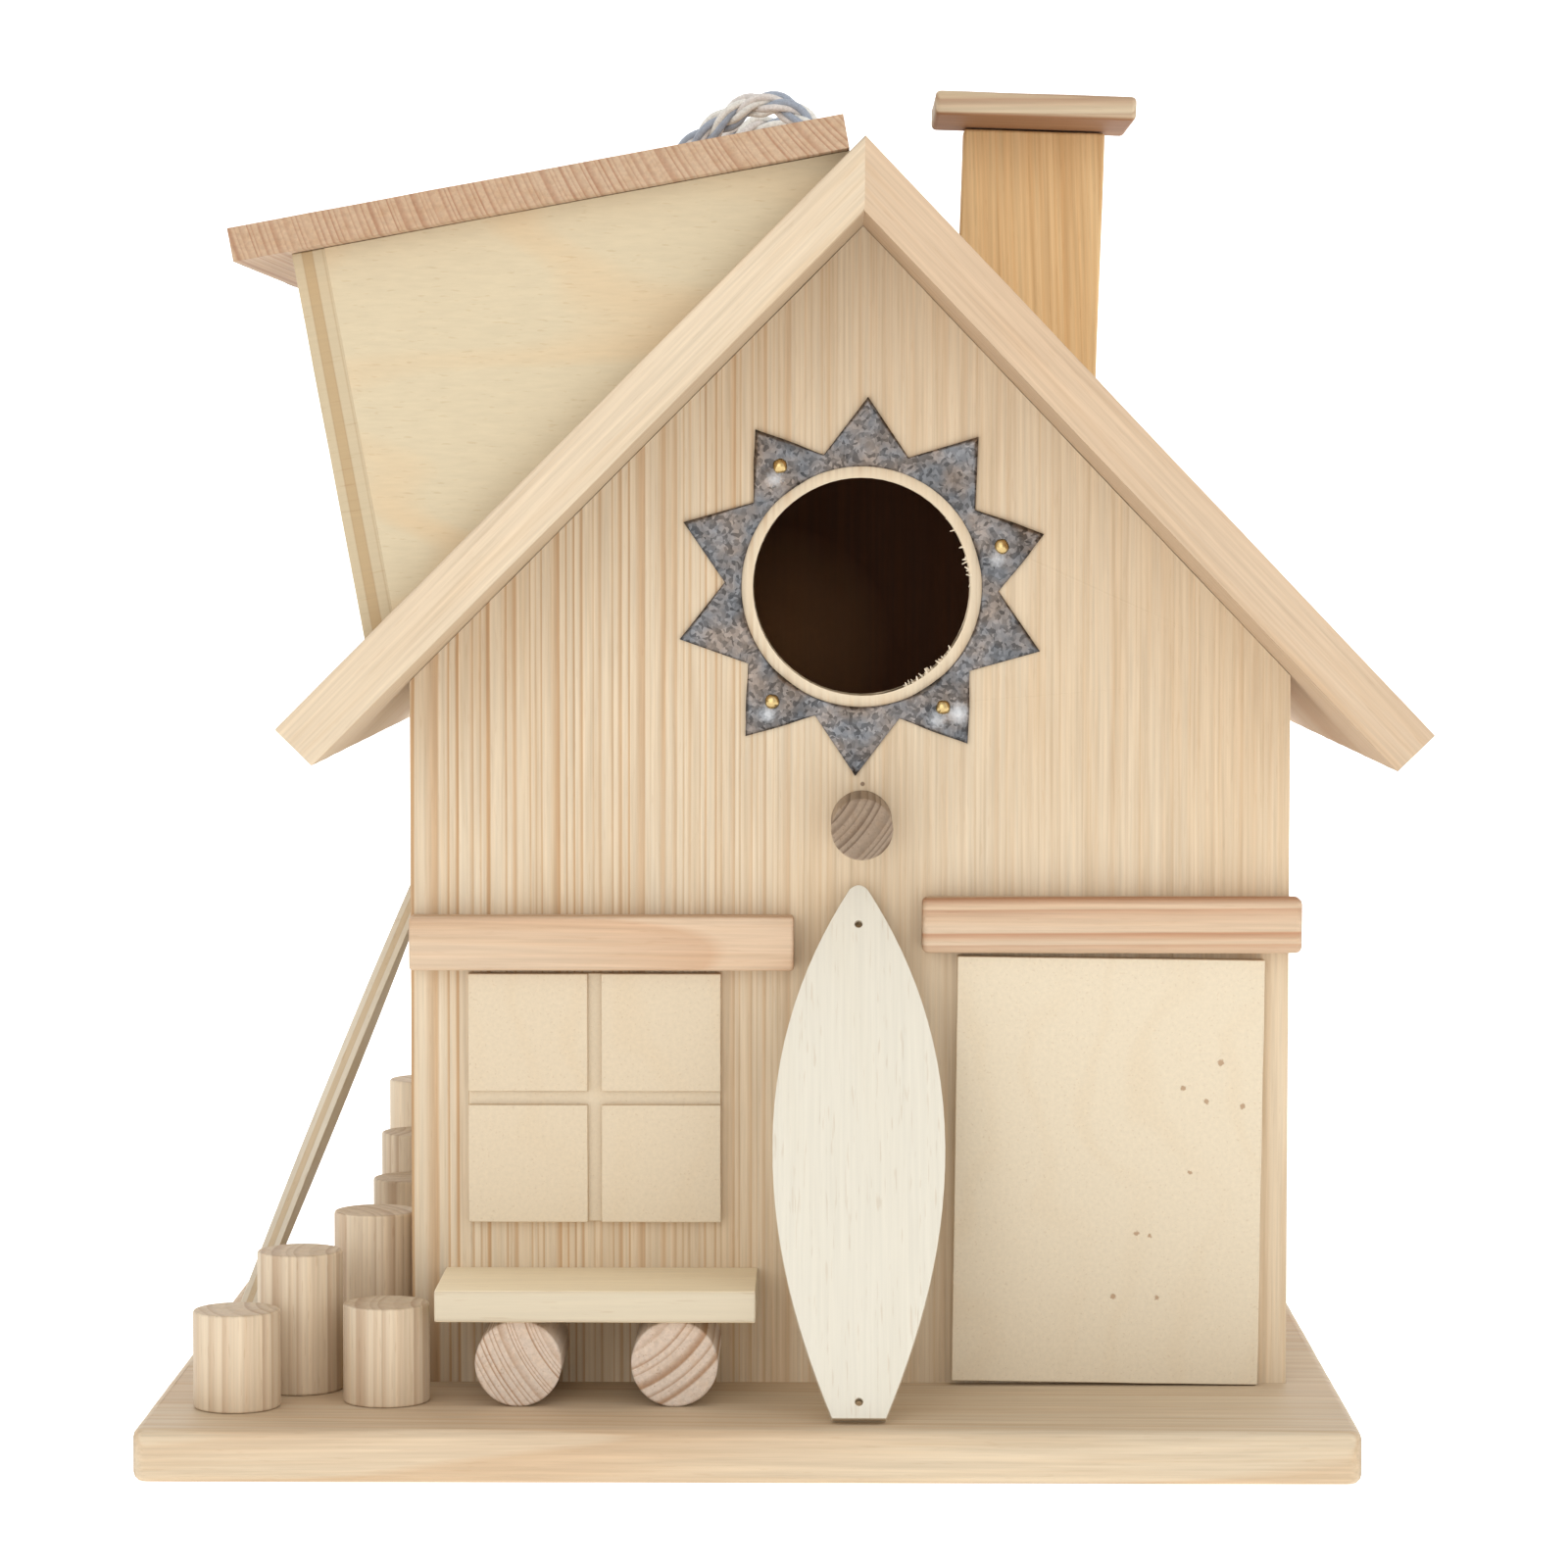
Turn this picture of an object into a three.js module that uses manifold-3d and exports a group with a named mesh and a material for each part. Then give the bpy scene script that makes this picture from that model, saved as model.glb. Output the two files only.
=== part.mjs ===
// Wooden beach-house bird house: gabled box on a base board, lean-to dormer, chimney, sun-shaped
// entrance plate, toy surfboards, skateboard and a row of dowel posts. Millimetres, +Z up.
// The front faces -Y. Pieces are laid out from the middle of the front wall's face at the base's
// underside, and the whole house is then shifted so that its box stands centred on the origin.
import * as THREE from 'three';
import { mergeVertices } from 'three/addons/utils/BufferGeometryUtils.js';
import Module from 'manifold-3d';

const wasm = await Module();
wasm.setup();

// ---------- driving dimensions ----------
const baseThickness = 9;
const baseMarginLeft = 43;
const baseMarginRight = 8.8;
const baseMarginFront = 43.4;
const baseMarginRear = 10;
const baseCornerRadius = 2.5;

const wallWidth = 152.4;
const wallThickness = 9;
const bodyDepth = 127;

const ridgeOffset = 2.3;
const ridgeHeight = 201.4;
const pitchLeft = THREE.MathUtils.degToRad(45);
const pitchRight = THREE.MathUtils.degToRad(46.3);
const roofThickness = 8.4;
const eaveOverhangLeft = 18.7;
const eaveOverhangRight = 20.1;
const roofOverhangFront = 40;
const roofOverhangRear = 13;

const dormerTilt = THREE.MathUtils.degToRad(10.4);
const dormerWidth = 102.8;
const dormerRoofThickness = 5.6;
const dormerBoardThickness = 5.2;
const dormerEave = 9.3;
const dormerRidgeSetback = 3.2;
const cheekSetback = 6;

const stackWidth = 26;
const stackDepth = 9;
const stackHeight = 222;
const stackOffset = 34.2;
const stackSetback = 58;
const chimneyLean = THREE.MathUtils.degToRad(1.9);
const capWidth = 36;
const capDepth = 36;
const capThickness = 4.3;
const capOverhangRear = 1;
const capShift = -0.9;

const entranceHeight = 139;
const entranceOffset = 2.1;
const entranceRadius = 19;

const sunHoleMargin = 1.8;
const sunRingWidth = 2.9;
const sunRayLength = 9.1;
const sunPoints = 10;
const sunThickness = 0.6;
const sunTwist = THREE.MathUtils.degToRad(1.9);
const sunNailInset = 4.4;
const sunNailTips = [1, 4, 6, 8];

const perchDiameter = 10.5;
const perchReach = 22;
const perchDrop = 2.55;

const headerThickness = 5.5;
const windowHeader = { fromLeft: 0, width: 66.6, bottom: 72.7, height: 9.4 };
const garageHeader = { fromRight: -2, width: 65.6, bottom: 75.8, height: 9.6 };

const panelThickness = 2.5;
const windowPanel = { fromLeft: 10.1, width: 43.7, bottom: 28.6, height: 43.2 };
const windowBarWidth = 2.6;
const windowBarDepth = 1.2;
const garageDoor = { fromRight: 5.2, width: 53, height: 74 };
const garageDoorLean = THREE.MathUtils.degToRad(0.7);

const dowelDiameter = 14.8;
const deck = { fromLeft: 5.8, width: 54.5, depth: 25, thickness: 5.4 };
const wheelInsets = [14.1, 40.7];
const wheelSetback = 2;

const surfboardLength = 93.2;
const surfboardHalfWidth = 14.7;
const surfboardTailHalfWidth = 4.5;
const surfboardThickness = 3;
const surfboardHoleRadius = 0.7;
const surfboardHoleTip = 7;
const surfboardHoleTail = 2.8;
const surfboardFoot = 35.5;
const surfboardFrontX = 1.6;
const surfboardSideY = 55;

const frontLogs = [
  { outward: 28, y: -22.6, height: 16.6 },
  { outward: 19, y: -6.6, height: 24.2 },
  { outward: 3, y: -17.4, height: 16.9 },
];
const wallLog = { y: 13, height: 28.2 };
const rearLogHeights = [24, 30.6, 38.9];
const rearLogInset = 3.1;
const rearLogGap = 1.95;

const cleanoutHeight = 45;
const cleanoutRadius = 19;
const coverLap = 6;
const coverTopMargin = 10;
const coverThickness = 3;
const coverCornerRadius = 8;
const pivotShankRadius = 2;
const pivotHeadRadius = 4;
const pivotHeadHeight = 2.4;
const pivotLength = 11;

const ropeDiameter = 5;
const ropeHoleRadius = 3.1;
const ropeHoleX = -6;
const ropeHoleDepths = [30, 88];
const knotRadius = 5.5;

const brad = { shank: 0.7, head: 1.2, headHeight: 0.6, length: 16 };
const roofBradDistances = [42, 104];
const dormerBradDistances = [30, 76];
const sunNail = { shank: 0.65, head: 1.4, headHeight: 0.9, length: 8 };

// ---------- clearances ----------
const seatGap = 0.3;
const mitreGap = 0.1;
const dormerSeatGap = 0.5;
const drillClearance = 0.15;
const runningClearance = 0.05;
const slideGap = 0.2;
const openCoverGap = 1;

// ---------- materials ----------
const wood = (colour) => new THREE.MeshStandardMaterial({ color: colour, roughness: 0.7, metalness: 0 });
const finish = {
  pine: wood('#dcc096'),
  pineRosy: wood('#d9b28a'),
  pineGolden: wood('#c89b62'),
  plywood: wood('#e3d2a4'),
  dowel: wood('#d3b48b'),
  zinc: new THREE.MeshStandardMaterial({ color: '#6d7177', roughness: 0.4, metalness: 1 }),
  brass: new THREE.MeshStandardMaterial({ color: '#c8a24a', roughness: 0.35, metalness: 1 }),
  steel: new THREE.MeshStandardMaterial({ color: '#8d8d8f', roughness: 0.4, metalness: 1 }),
  rope: new THREE.MeshStandardMaterial({ color: '#b9b8b4', roughness: 0.95, metalness: 0 }),
};

// ---------- geometry helpers ----------
const upright = (x, z) => new THREE.Vector2(x, z);

// A closed outline in the XZ plane, pushed back along +Y from `front` by `depth`.
function slab(outline, front, depth, holes = []) {
  const shape = new THREE.Shape(outline);
  shape.holes = holes;
  const geometry = new THREE.ExtrudeGeometry(shape, { depth, bevelEnabled: false, curveSegments: 12 });
  geometry.rotateX(Math.PI / 2);
  geometry.translate(0, front + depth, 0);
  return geometry;
}

function circle(x, z, radius, sides) {
  const points = [];
  for (let i = 0; i < sides; i += 1) {
    const angle = (i / sides) * 2 * Math.PI;
    points.push(upright(x + radius * Math.cos(angle), z + radius * Math.sin(angle)));
  }
  return new THREE.Path(points);
}

function roundedOutline(left, bottom, width, height, radius) {
  const shape = new THREE.Shape();
  const right = left + width;
  const top = bottom + height;
  shape.absarc(right - radius, bottom + radius, radius, -Math.PI / 2, 0, false);
  shape.absarc(right - radius, top - radius, radius, 0, Math.PI / 2, false);
  shape.absarc(left + radius, top - radius, radius, Math.PI / 2, Math.PI, false);
  shape.absarc(left + radius, bottom + radius, radius, Math.PI, 1.5 * Math.PI, false);
  return shape.getPoints(4);
}

function toSolid(geometry) {
  const bare = geometry.clone();
  bare.deleteAttribute('normal');
  bare.deleteAttribute('uv');
  const merged = mergeVertices(bare, 1e-4);
  return new wasm.Manifold(new wasm.Mesh({
    numProp: 3,
    vertProperties: new Float32Array(merged.attributes.position.array),
    triVerts: new Uint32Array(merged.index.array),
  }));
}

function toGeometry(solid) {
  const mesh = solid.getMesh();
  const geometry = new THREE.BufferGeometry();
  geometry.setAttribute('position', new THREE.BufferAttribute(new Float32Array(mesh.vertProperties), 3));
  geometry.setIndex(new THREE.BufferAttribute(new Uint32Array(mesh.triVerts), 1));
  geometry.computeVertexNormals();
  return geometry;
}

function cut(geometry, cutters) {
  const left = cutters.reduce((solid, cutter) => solid.subtract(toSolid(cutter)), toSolid(geometry));
  return toGeometry(left);
}

// A drill along local Z, from `length` below the frame's surface to 1 mm above it.
function drill(radius, length, matrix, sides = 12) {
  const geometry = new THREE.CylinderGeometry(radius, radius, length + 1, sides);
  geometry.rotateX(Math.PI / 2);
  geometry.translate(0, 0, (1 - length) / 2);
  return geometry.applyMatrix4(matrix);
}

// A nail turned about its axis: the shank below z = 0, the head above it.
function nailGeometry(size, sides = 12) {
  const profile = [
    upright(0, -size.length),
    upright(size.shank, -size.length + 2 * size.shank),
    upright(size.shank, 0),
    upright(size.head, 0),
    upright(size.head * 0.8, size.headHeight * 0.8),
    upright(0, size.headHeight),
  ];
  const geometry = new THREE.LatheGeometry(profile, sides);
  geometry.rotateX(Math.PI / 2);
  return geometry;
}

function dowelGeometry(radius, length) {
  return new THREE.CylinderGeometry(radius, radius, length, 36);
}

const house = new THREE.Group();

function add(name, geometry, material, parent = house) {
  const mesh = new THREE.Mesh(geometry, material.clone());
  mesh.name = name;
  parent.add(mesh);
  return mesh;
}

// Crossing point of the line p + s d with the line q + t e.
function meet(p, d, q, e) {
  const s = ((q.x - p.x) * e.y - (q.y - p.y) * e.x) / (d.x * e.y - d.y * e.x);
  return upright(p.x + s * d.x, p.y + s * d.y);
}

function along(point, direction, distance) {
  return point.clone().addScaledVector(direction, distance);
}

// A frame whose local +Z points along `normal` in the XZ plane.
function frameOnSlope(point, y, normal) {
  const matrix = new THREE.Matrix4().makeRotationY(Math.atan2(normal.x, normal.y));
  return matrix.setPosition(point.x, y, point.y);
}

// ---------- roof lines in the XZ plane ----------
const innerRidge = upright(ridgeOffset, baseThickness + ridgeHeight);
const downLeft = upright(-Math.cos(pitchLeft), -Math.sin(pitchLeft));
const downRight = upright(Math.cos(pitchRight), -Math.sin(pitchRight));
const normalLeft = upright(-Math.sin(pitchLeft), Math.cos(pitchLeft));
const normalRight = upright(Math.sin(pitchRight), Math.cos(pitchRight));
const mitreTilt = (pitchRight - pitchLeft) / 2;
const mitreLength = roofThickness / Math.cos((pitchLeft + pitchRight) / 2);
const mitreDirection = upright(Math.sin(mitreTilt), Math.cos(mitreTilt));
const outerRidge = along(innerRidge, mitreDirection, mitreLength);
const roofFront = -roofOverhangFront;
const roofDepth = roofOverhangFront + bodyDepth + roofOverhangRear;
const halfWall = wallWidth / 2;
const roofLengthLeft = (halfWall + eaveOverhangLeft + outerRidge.x) / Math.cos(pitchLeft);
const roofLengthRight = (halfWall + eaveOverhangRight - outerRidge.x) / Math.cos(pitchRight);

// Height of the walls' sloped tops at x, a seat gap below the roof boards.
function wallTop(x) {
  const run = x < ridgeOffset ? ridgeOffset - x : x - ridgeOffset;
  const pitch = x < ridgeOffset ? pitchLeft : pitchRight;
  return innerRidge.y - run * Math.tan(pitch) - seatGap / Math.cos(pitch);
}

// ---------- base board ----------
function makeBase() {
  const width = baseMarginLeft + wallWidth + baseMarginRight;
  const depth = baseMarginFront + bodyDepth + baseMarginRear;
  const outline = roundedOutline(-width / 2, -depth / 2, width, depth, baseCornerRadius);
  const shape = new THREE.Shape(outline);
  const geometry = new THREE.ExtrudeGeometry(shape, { depth: baseThickness, bevelEnabled: false });
  const base = add('base_board', geometry, finish.pine);
  base.position.set(width / 2 - halfWall - baseMarginLeft, depth / 2 - baseMarginFront, 0);
}

// ---------- nails through the roof ----------
function roofBradFrames() {
  const frames = [];
  for (const y of [wallThickness / 2, bodyDepth - wallThickness / 2]) {
    for (const distance of roofBradDistances) {
      frames.push(frameOnSlope(along(outerRidge, downRight, distance), y, normalRight));
    }
  }
  return frames;
}

const bradFrames = roofBradFrames();
const bradHoles = bradFrames.map((frame) => drill(brad.shank + drillClearance, brad.length + 1, frame));

const sunHoleRadius = entranceRadius + sunHoleMargin;
const sunValleyRadius = sunHoleRadius + sunRingWidth;
const sunTipRadius = sunValleyRadius + sunRayLength;
const sunNailRadius = sunHoleRadius + sunNailInset;

function sunAngle(step) {
  return Math.PI / 2 - sunTwist + (step * 2 * Math.PI) / sunPoints;
}

const entranceZ = baseThickness + entranceHeight;
const sunNailSpots = sunNailTips.map((tip) => upright(
  entranceOffset + sunNailRadius * Math.cos(sunAngle(tip)),
  entranceZ + sunNailRadius * Math.sin(sunAngle(tip)),
));

// ---------- walls ----------
function gableOutline() {
  return [
    upright(-halfWall, baseThickness),
    upright(halfWall, baseThickness),
    upright(halfWall, wallTop(halfWall)),
    upright(ridgeOffset, wallTop(ridgeOffset)),
    upright(-halfWall, wallTop(-halfWall)),
  ];
}

const perchZ = entranceZ - sunTipRadius - perchDrop - perchDiameter / 2;
const pivotRise = cleanoutRadius + coverTopMargin + openCoverGap;
const pivotZ = baseThickness + cleanoutHeight + pivotRise;

function makeWalls() {
  const frontHoles = [
    circle(entranceOffset, entranceZ, entranceRadius, 64),
    circle(entranceOffset, perchZ, perchDiameter / 2 + drillClearance, 36),
  ];
  for (const spot of sunNailSpots) {
    frontHoles.push(circle(spot.x, spot.y, sunNail.shank + drillClearance, 10));
  }
  const front = slab(gableOutline(), 0, wallThickness, frontHoles);
  add('front_wall', cut(front, bradHoles.slice(0, 2)), finish.pine);

  const rearFace = bodyDepth - wallThickness;
  const backHoles = [
    circle(0, baseThickness + cleanoutHeight, cleanoutRadius, 48),
    circle(0, pivotZ, pivotShankRadius + drillClearance, 16),
  ];
  const back = slab(gableOutline(), rearFace, wallThickness, backHoles);
  add('back_wall', cut(back, bradHoles.slice(2, 4)), finish.pine);

  for (const [name, outer, inner] of [
    ['left_wall', -halfWall, -halfWall + wallThickness],
    ['right_wall', halfWall, halfWall - wallThickness],
  ]) {
    const outline = [
      upright(outer, baseThickness),
      upright(inner, baseThickness),
      upright(inner, wallTop(inner)),
      upright(outer, wallTop(outer)),
    ];
    if (outer > inner) outline.reverse();
    add(name, slab(outline, wallThickness, bodyDepth - 2 * wallThickness), finish.pine);
  }
}

// ---------- dormer frame: local x runs left from the ridge, local z = 0 is the board's underside ----------
const dormer = new THREE.Group();
const dormerCorner = along(along(outerRidge, downLeft, dormerRidgeSetback), normalLeft, dormerSeatGap);
dormer.position.set(dormerCorner.x, 0, dormerCorner.y);
dormer.rotation.y = -dormerTilt;
dormer.updateMatrix();
house.add(dormer);

function toDormer(point) {
  const dx = point.x - dormerCorner.x;
  const dz = point.y - dormerCorner.y;
  return upright(
    dx * Math.cos(dormerTilt) + dz * Math.sin(dormerTilt),
    -dx * Math.sin(dormerTilt) + dz * Math.cos(dormerTilt),
  );
}

const slopeInDormer = pitchLeft - dormerTilt;
const ridgeInDormer = toDormer(outerRidge);
const slopeDirection = upright(-Math.cos(slopeInDormer), -Math.sin(slopeInDormer));

// Height of the main roof's top face below the dormer at local x, raised by `gap`.
function slopeUnderDormer(x, gap) {
  return ridgeInDormer.y - (ridgeInDormer.x - x) * Math.tan(slopeInDormer) + gap / Math.cos(slopeInDormer);
}

// The rope's holes run straight down through the dormer's roof board and the left roof board.
const ropeHoleTop = dormerCorner.y + (ropeHoleX - dormerCorner.x) * Math.tan(dormerTilt)
  + dormerRoofThickness / Math.cos(dormerTilt);
const ropeHoleFoot = outerRidge.y - (outerRidge.x - ropeHoleX) * Math.tan(pitchLeft)
  - roofThickness / Math.cos(pitchLeft);
const ropeDrills = ropeHoleDepths.map((y) => {
  const matrix = new THREE.Matrix4().setPosition(ropeHoleX, y, ropeHoleTop + ropeHoleRadius);
  return drill(ropeHoleRadius, ropeHoleTop - ropeHoleFoot + 3 * ropeHoleRadius, matrix, 24);
});

// ---------- main roof ----------
function makeRoof() {
  const leftEnd = along(outerRidge, downLeft, roofLengthLeft);
  const left = [
    along(innerRidge, downLeft, mitreGap),
    along(outerRidge, downLeft, mitreGap),
    leftEnd,
    along(leftEnd, normalLeft, -roofThickness),
  ];
  add('roof_board_left', cut(slab(left, roofFront, roofDepth), ropeDrills), finish.pine);

  const rightEnd = along(outerRidge, downRight, roofLengthRight);
  const right = [
    along(outerRidge, downRight, mitreGap),
    along(innerRidge, downRight, mitreGap),
    along(rightEnd, normalRight, -roofThickness),
    rightEnd,
  ];
  add('roof_board_right', cut(slab(right, roofFront, roofDepth), bradHoles), finish.pine);
  bradFrames.forEach((frame, i) => {
    const nail = add(`roof_brad_${i + 1}`, nailGeometry(brad), finish.steel);
    nail.applyMatrix4(frame);
  });
}

// ---------- dormer ----------
const cheekDepths = [
  roofFront + cheekSetback,
  roofFront + roofDepth - cheekSetback - dormerBoardThickness,
];

function makeDormer() {
  const spots = [];
  for (const y of cheekDepths) {
    for (const distance of dormerBradDistances) {
      spots.push(new THREE.Matrix4().setPosition(-distance, y + dormerBoardThickness / 2, dormerRoofThickness));
    }
  }
  const holes = spots.map((matrix) => drill(brad.shank + drillClearance, brad.length + 1, matrix));

  const board = [
    upright(-dormerWidth, 0),
    upright(0, 0),
    upright(0, dormerRoofThickness),
    upright(-dormerWidth, dormerRoofThickness),
  ];
  const toLocal = dormer.matrix.clone().invert();
  const ropeHoles = ropeDrills.map((geometry) => geometry.clone().applyMatrix4(toLocal));
  add('dormer_roof', cut(slab(board, roofFront, roofDepth), [...ropeHoles, ...holes]), finish.pineRosy, dormer);

  const outer = dormerEave - dormerWidth;
  const inner = outer + dormerBoardThickness;
  const outerBoard = [
    upright(outer, slopeUnderDormer(outer, seatGap)),
    upright(inner, slopeUnderDormer(inner, seatGap)),
    upright(inner, -seatGap),
    upright(outer, -seatGap),
  ];
  const outerDepth = roofDepth - 2 * cheekSetback;
  add('dormer_outer_board', slab(outerBoard, roofFront + cheekSetback, outerDepth), finish.plywood, dormer);

  const start = inner + seatGap;
  const tip = meet(upright(start, -seatGap), upright(1, 0),
    upright(start, slopeUnderDormer(start, seatGap)), slopeDirection);
  const cheek = [
    upright(start, slopeUnderDormer(start, seatGap)),
    tip,
    upright(start, -seatGap),
  ];
  cheekDepths.forEach((y, i) => {
    const name = i === 0 ? 'dormer_cheek_front' : 'dormer_cheek_back';
    add(name, cut(slab(cheek, y, dormerBoardThickness), holes), finish.plywood, dormer);
  });
  spots.forEach((matrix, i) => {
    const nail = add(`dormer_brad_${i + 1}`, nailGeometry(brad), finish.steel, dormer);
    nail.applyMatrix4(matrix);
  });
}

// ---------- chimney: local z = 0 is the stack's top ----------
function makeChimney() {
  const chimney = new THREE.Group();
  chimney.position.set(stackOffset, stackSetback, baseThickness + stackHeight);
  chimney.rotation.y = chimneyLean;
  house.add(chimney);

  const slope = upright(Math.cos(pitchRight - chimneyLean), -Math.sin(pitchRight - chimneyLean));
  const dx = outerRidge.x - chimney.position.x;
  const dz = outerRidge.y - chimney.position.z;
  const ridge = upright(
    dx * Math.cos(chimneyLean) - dz * Math.sin(chimneyLean),
    dx * Math.sin(chimneyLean) + dz * Math.cos(chimneyLean),
  );
  const raised = along(ridge, upright(-slope.y, slope.x), seatGap);
  const half = stackWidth / 2;
  const plumb = upright(0, 1);
  const stack = [
    meet(upright(-half, 0), plumb, raised, slope),
    meet(upright(half, 0), plumb, raised, slope),
    upright(half, 0),
    upright(-half, 0),
  ];
  add('chimney_stack', slab(stack, 0, stackDepth), finish.pineGolden, chimney);
  const cap = add('chimney_cap', new THREE.BoxGeometry(capWidth, capDepth, capThickness), finish.pine, chimney);
  cap.position.set(capShift, stackDepth + capOverhangRear - capDepth / 2, seatGap + capThickness / 2);
}

// ---------- entrance plate and perch ----------
function makeEntrance() {
  const star = [];
  for (let i = 0; i < 2 * sunPoints; i += 1) {
    const angle = sunAngle(i / 2);
    const radius = i % 2 === 0 ? sunTipRadius : sunValleyRadius;
    star.push(upright(entranceOffset + radius * Math.cos(angle), entranceZ + radius * Math.sin(angle)));
  }
  const holes = [circle(entranceOffset, entranceZ, sunHoleRadius, 64)];
  for (const spot of sunNailSpots) {
    holes.push(circle(spot.x, spot.y, sunNail.shank + drillClearance, 10));
  }
  add('sun_plate', slab(star, -sunThickness, sunThickness, holes), finish.zinc);
  sunNailSpots.forEach((spot, i) => {
    const nail = add(`sun_plate_nail_${i + 1}`, nailGeometry(sunNail, 16), finish.brass);
    nail.rotation.x = Math.PI / 2;
    nail.position.set(spot.x, -sunThickness, spot.y);
  });

  const perchSeat = wallThickness - 1;
  const perchLength = perchReach + perchSeat;
  const perch = add('perch_dowel', dowelGeometry(perchDiameter / 2, perchLength), finish.dowel);
  perch.position.set(entranceOffset, perchSeat - perchLength / 2, perchZ);
}

// ---------- window, garage and their headers ----------
function facePlate(place, thickness) {
  return new THREE.BoxGeometry(place.width, thickness, place.height);
}

// Left edge of a piece set out from the wall's left or right edge.
function leftEdge(place) {
  return place.fromLeft === undefined ? halfWall - place.fromRight - place.width : place.fromLeft - halfWall;
}

function placeOnWall(mesh, place, thickness) {
  const middle = leftEdge(place) + place.width / 2;
  mesh.position.set(middle, -thickness / 2, baseThickness + place.bottom + place.height / 2);
}

function makeFacade() {
  for (const [name, place] of [['window_header', windowHeader], ['garage_header', garageHeader]]) {
    placeOnWall(add(name, facePlate(place, headerThickness), finish.pineRosy), place, headerThickness);
  }

  const post = new THREE.BoxGeometry(windowBarWidth, windowBarDepth * 2, windowPanel.height + 1);
  post.translate(0, -panelThickness / 2, 0);
  const level = new THREE.BoxGeometry(windowPanel.width + 1, windowBarDepth * 2, windowBarWidth);
  level.translate(0, -panelThickness / 2, 0);
  const panes = cut(facePlate(windowPanel, panelThickness), [post, level]);
  placeOnWall(add('window_panel', panes, finish.plywood), windowPanel, panelThickness);

  const door = new THREE.BoxGeometry(garageDoor.width, panelThickness, garageDoor.height);
  door.translate(garageDoor.width / 2, 0, garageDoor.height / 2);
  const garage = add('garage_door', door, finish.plywood);
  const lift = garageDoor.width * Math.sin(garageDoorLean) + seatGap;
  garage.position.set(leftEdge(garageDoor), -panelThickness / 2 - seatGap, baseThickness + lift);
  garage.rotation.y = garageDoorLean;
}

// ---------- toy skateboard ----------
function makeSkateboard() {
  const radius = dowelDiameter / 2;
  const length = deck.depth - wheelSetback;
  wheelInsets.forEach((inset, i) => {
    const wheel = add(`skateboard_wheel_${i + 1}`, dowelGeometry(radius, length), finish.dowel);
    wheel.position.set(leftEdge(deck) + inset, -length / 2, baseThickness + radius);
  });
  const board = add('skateboard_deck', new THREE.BoxGeometry(deck.width, deck.depth, deck.thickness), finish.plywood);
  board.position.set(
    leftEdge(deck) + deck.width / 2,
    -deck.depth / 2,
    baseThickness + dowelDiameter + deck.thickness / 2,
  );
}

// ---------- toy surfboards: local y runs from tail to tip, local z = 0 is the wall side ----------
function surfboardGeometry() {
  const shape = new THREE.Shape();
  const waist = surfboardLength * 0.5;
  shape.moveTo(-surfboardTailHalfWidth, 0);
  shape.lineTo(surfboardTailHalfWidth, 0);
  shape.bezierCurveTo(surfboardHalfWidth * 0.72, waist * 0.32, surfboardHalfWidth, waist * 0.64,
    surfboardHalfWidth, waist);
  shape.bezierCurveTo(surfboardHalfWidth, waist * 1.4, surfboardHalfWidth * 0.62, waist * 1.72,
    1.6, surfboardLength - 0.8);
  shape.quadraticCurveTo(0, surfboardLength + 0.8, -1.6, surfboardLength - 0.8);
  shape.bezierCurveTo(-surfboardHalfWidth * 0.62, waist * 1.72, -surfboardHalfWidth, waist * 1.4,
    -surfboardHalfWidth, waist);
  shape.bezierCurveTo(-surfboardHalfWidth, waist * 0.64, -surfboardHalfWidth * 0.72, waist * 0.32,
    -surfboardTailHalfWidth, 0);
  const outline = shape.getPoints(14);
  const flat = new THREE.Shape(outline);
  flat.holes = [surfboardHoleTail, surfboardLength - surfboardHoleTip]
    .map((y) => circle(0, y, surfboardHoleRadius, 12));
  return new THREE.ExtrudeGeometry(flat, { depth: surfboardThickness, bevelEnabled: false });
}

const surfboardLean = Math.asin((surfboardFoot - seatGap) / surfboardLength);

function makeSurfboard(name, x, y, turn) {
  const stand = new THREE.Group();
  stand.position.set(x, y, baseThickness);
  stand.rotation.z = turn;
  house.add(stand);
  const board = add(name, surfboardGeometry(), finish.plywood, stand);
  board.rotation.x = Math.PI / 2 - surfboardLean;
  board.position.set(0, -surfboardFoot, 0.02);
}

// ---------- dowel posts along the left side ----------
function makeLogs() {
  const besideWall = -halfWall - seatGap - dowelDiameter / 2;
  const logs = frontLogs.map((log) => ({ ...log, x: -halfWall - log.outward }));
  logs.push({ ...wallLog, x: besideWall });
  const last = bodyDepth - rearLogInset - dowelDiameter / 2;
  rearLogHeights.forEach((height, i) => {
    const steps = rearLogHeights.length - 1 - i;
    logs.push({ x: besideWall, y: last - steps * (dowelDiameter + rearLogGap), height });
  });
  logs.forEach((log, i) => {
    const mesh = add(`log_${i + 1}`, dowelGeometry(dowelDiameter / 2, log.height), finish.dowel);
    mesh.rotation.x = Math.PI / 2;
    mesh.position.set(log.x, log.y, baseThickness + log.height / 2);
  });
}

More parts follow.
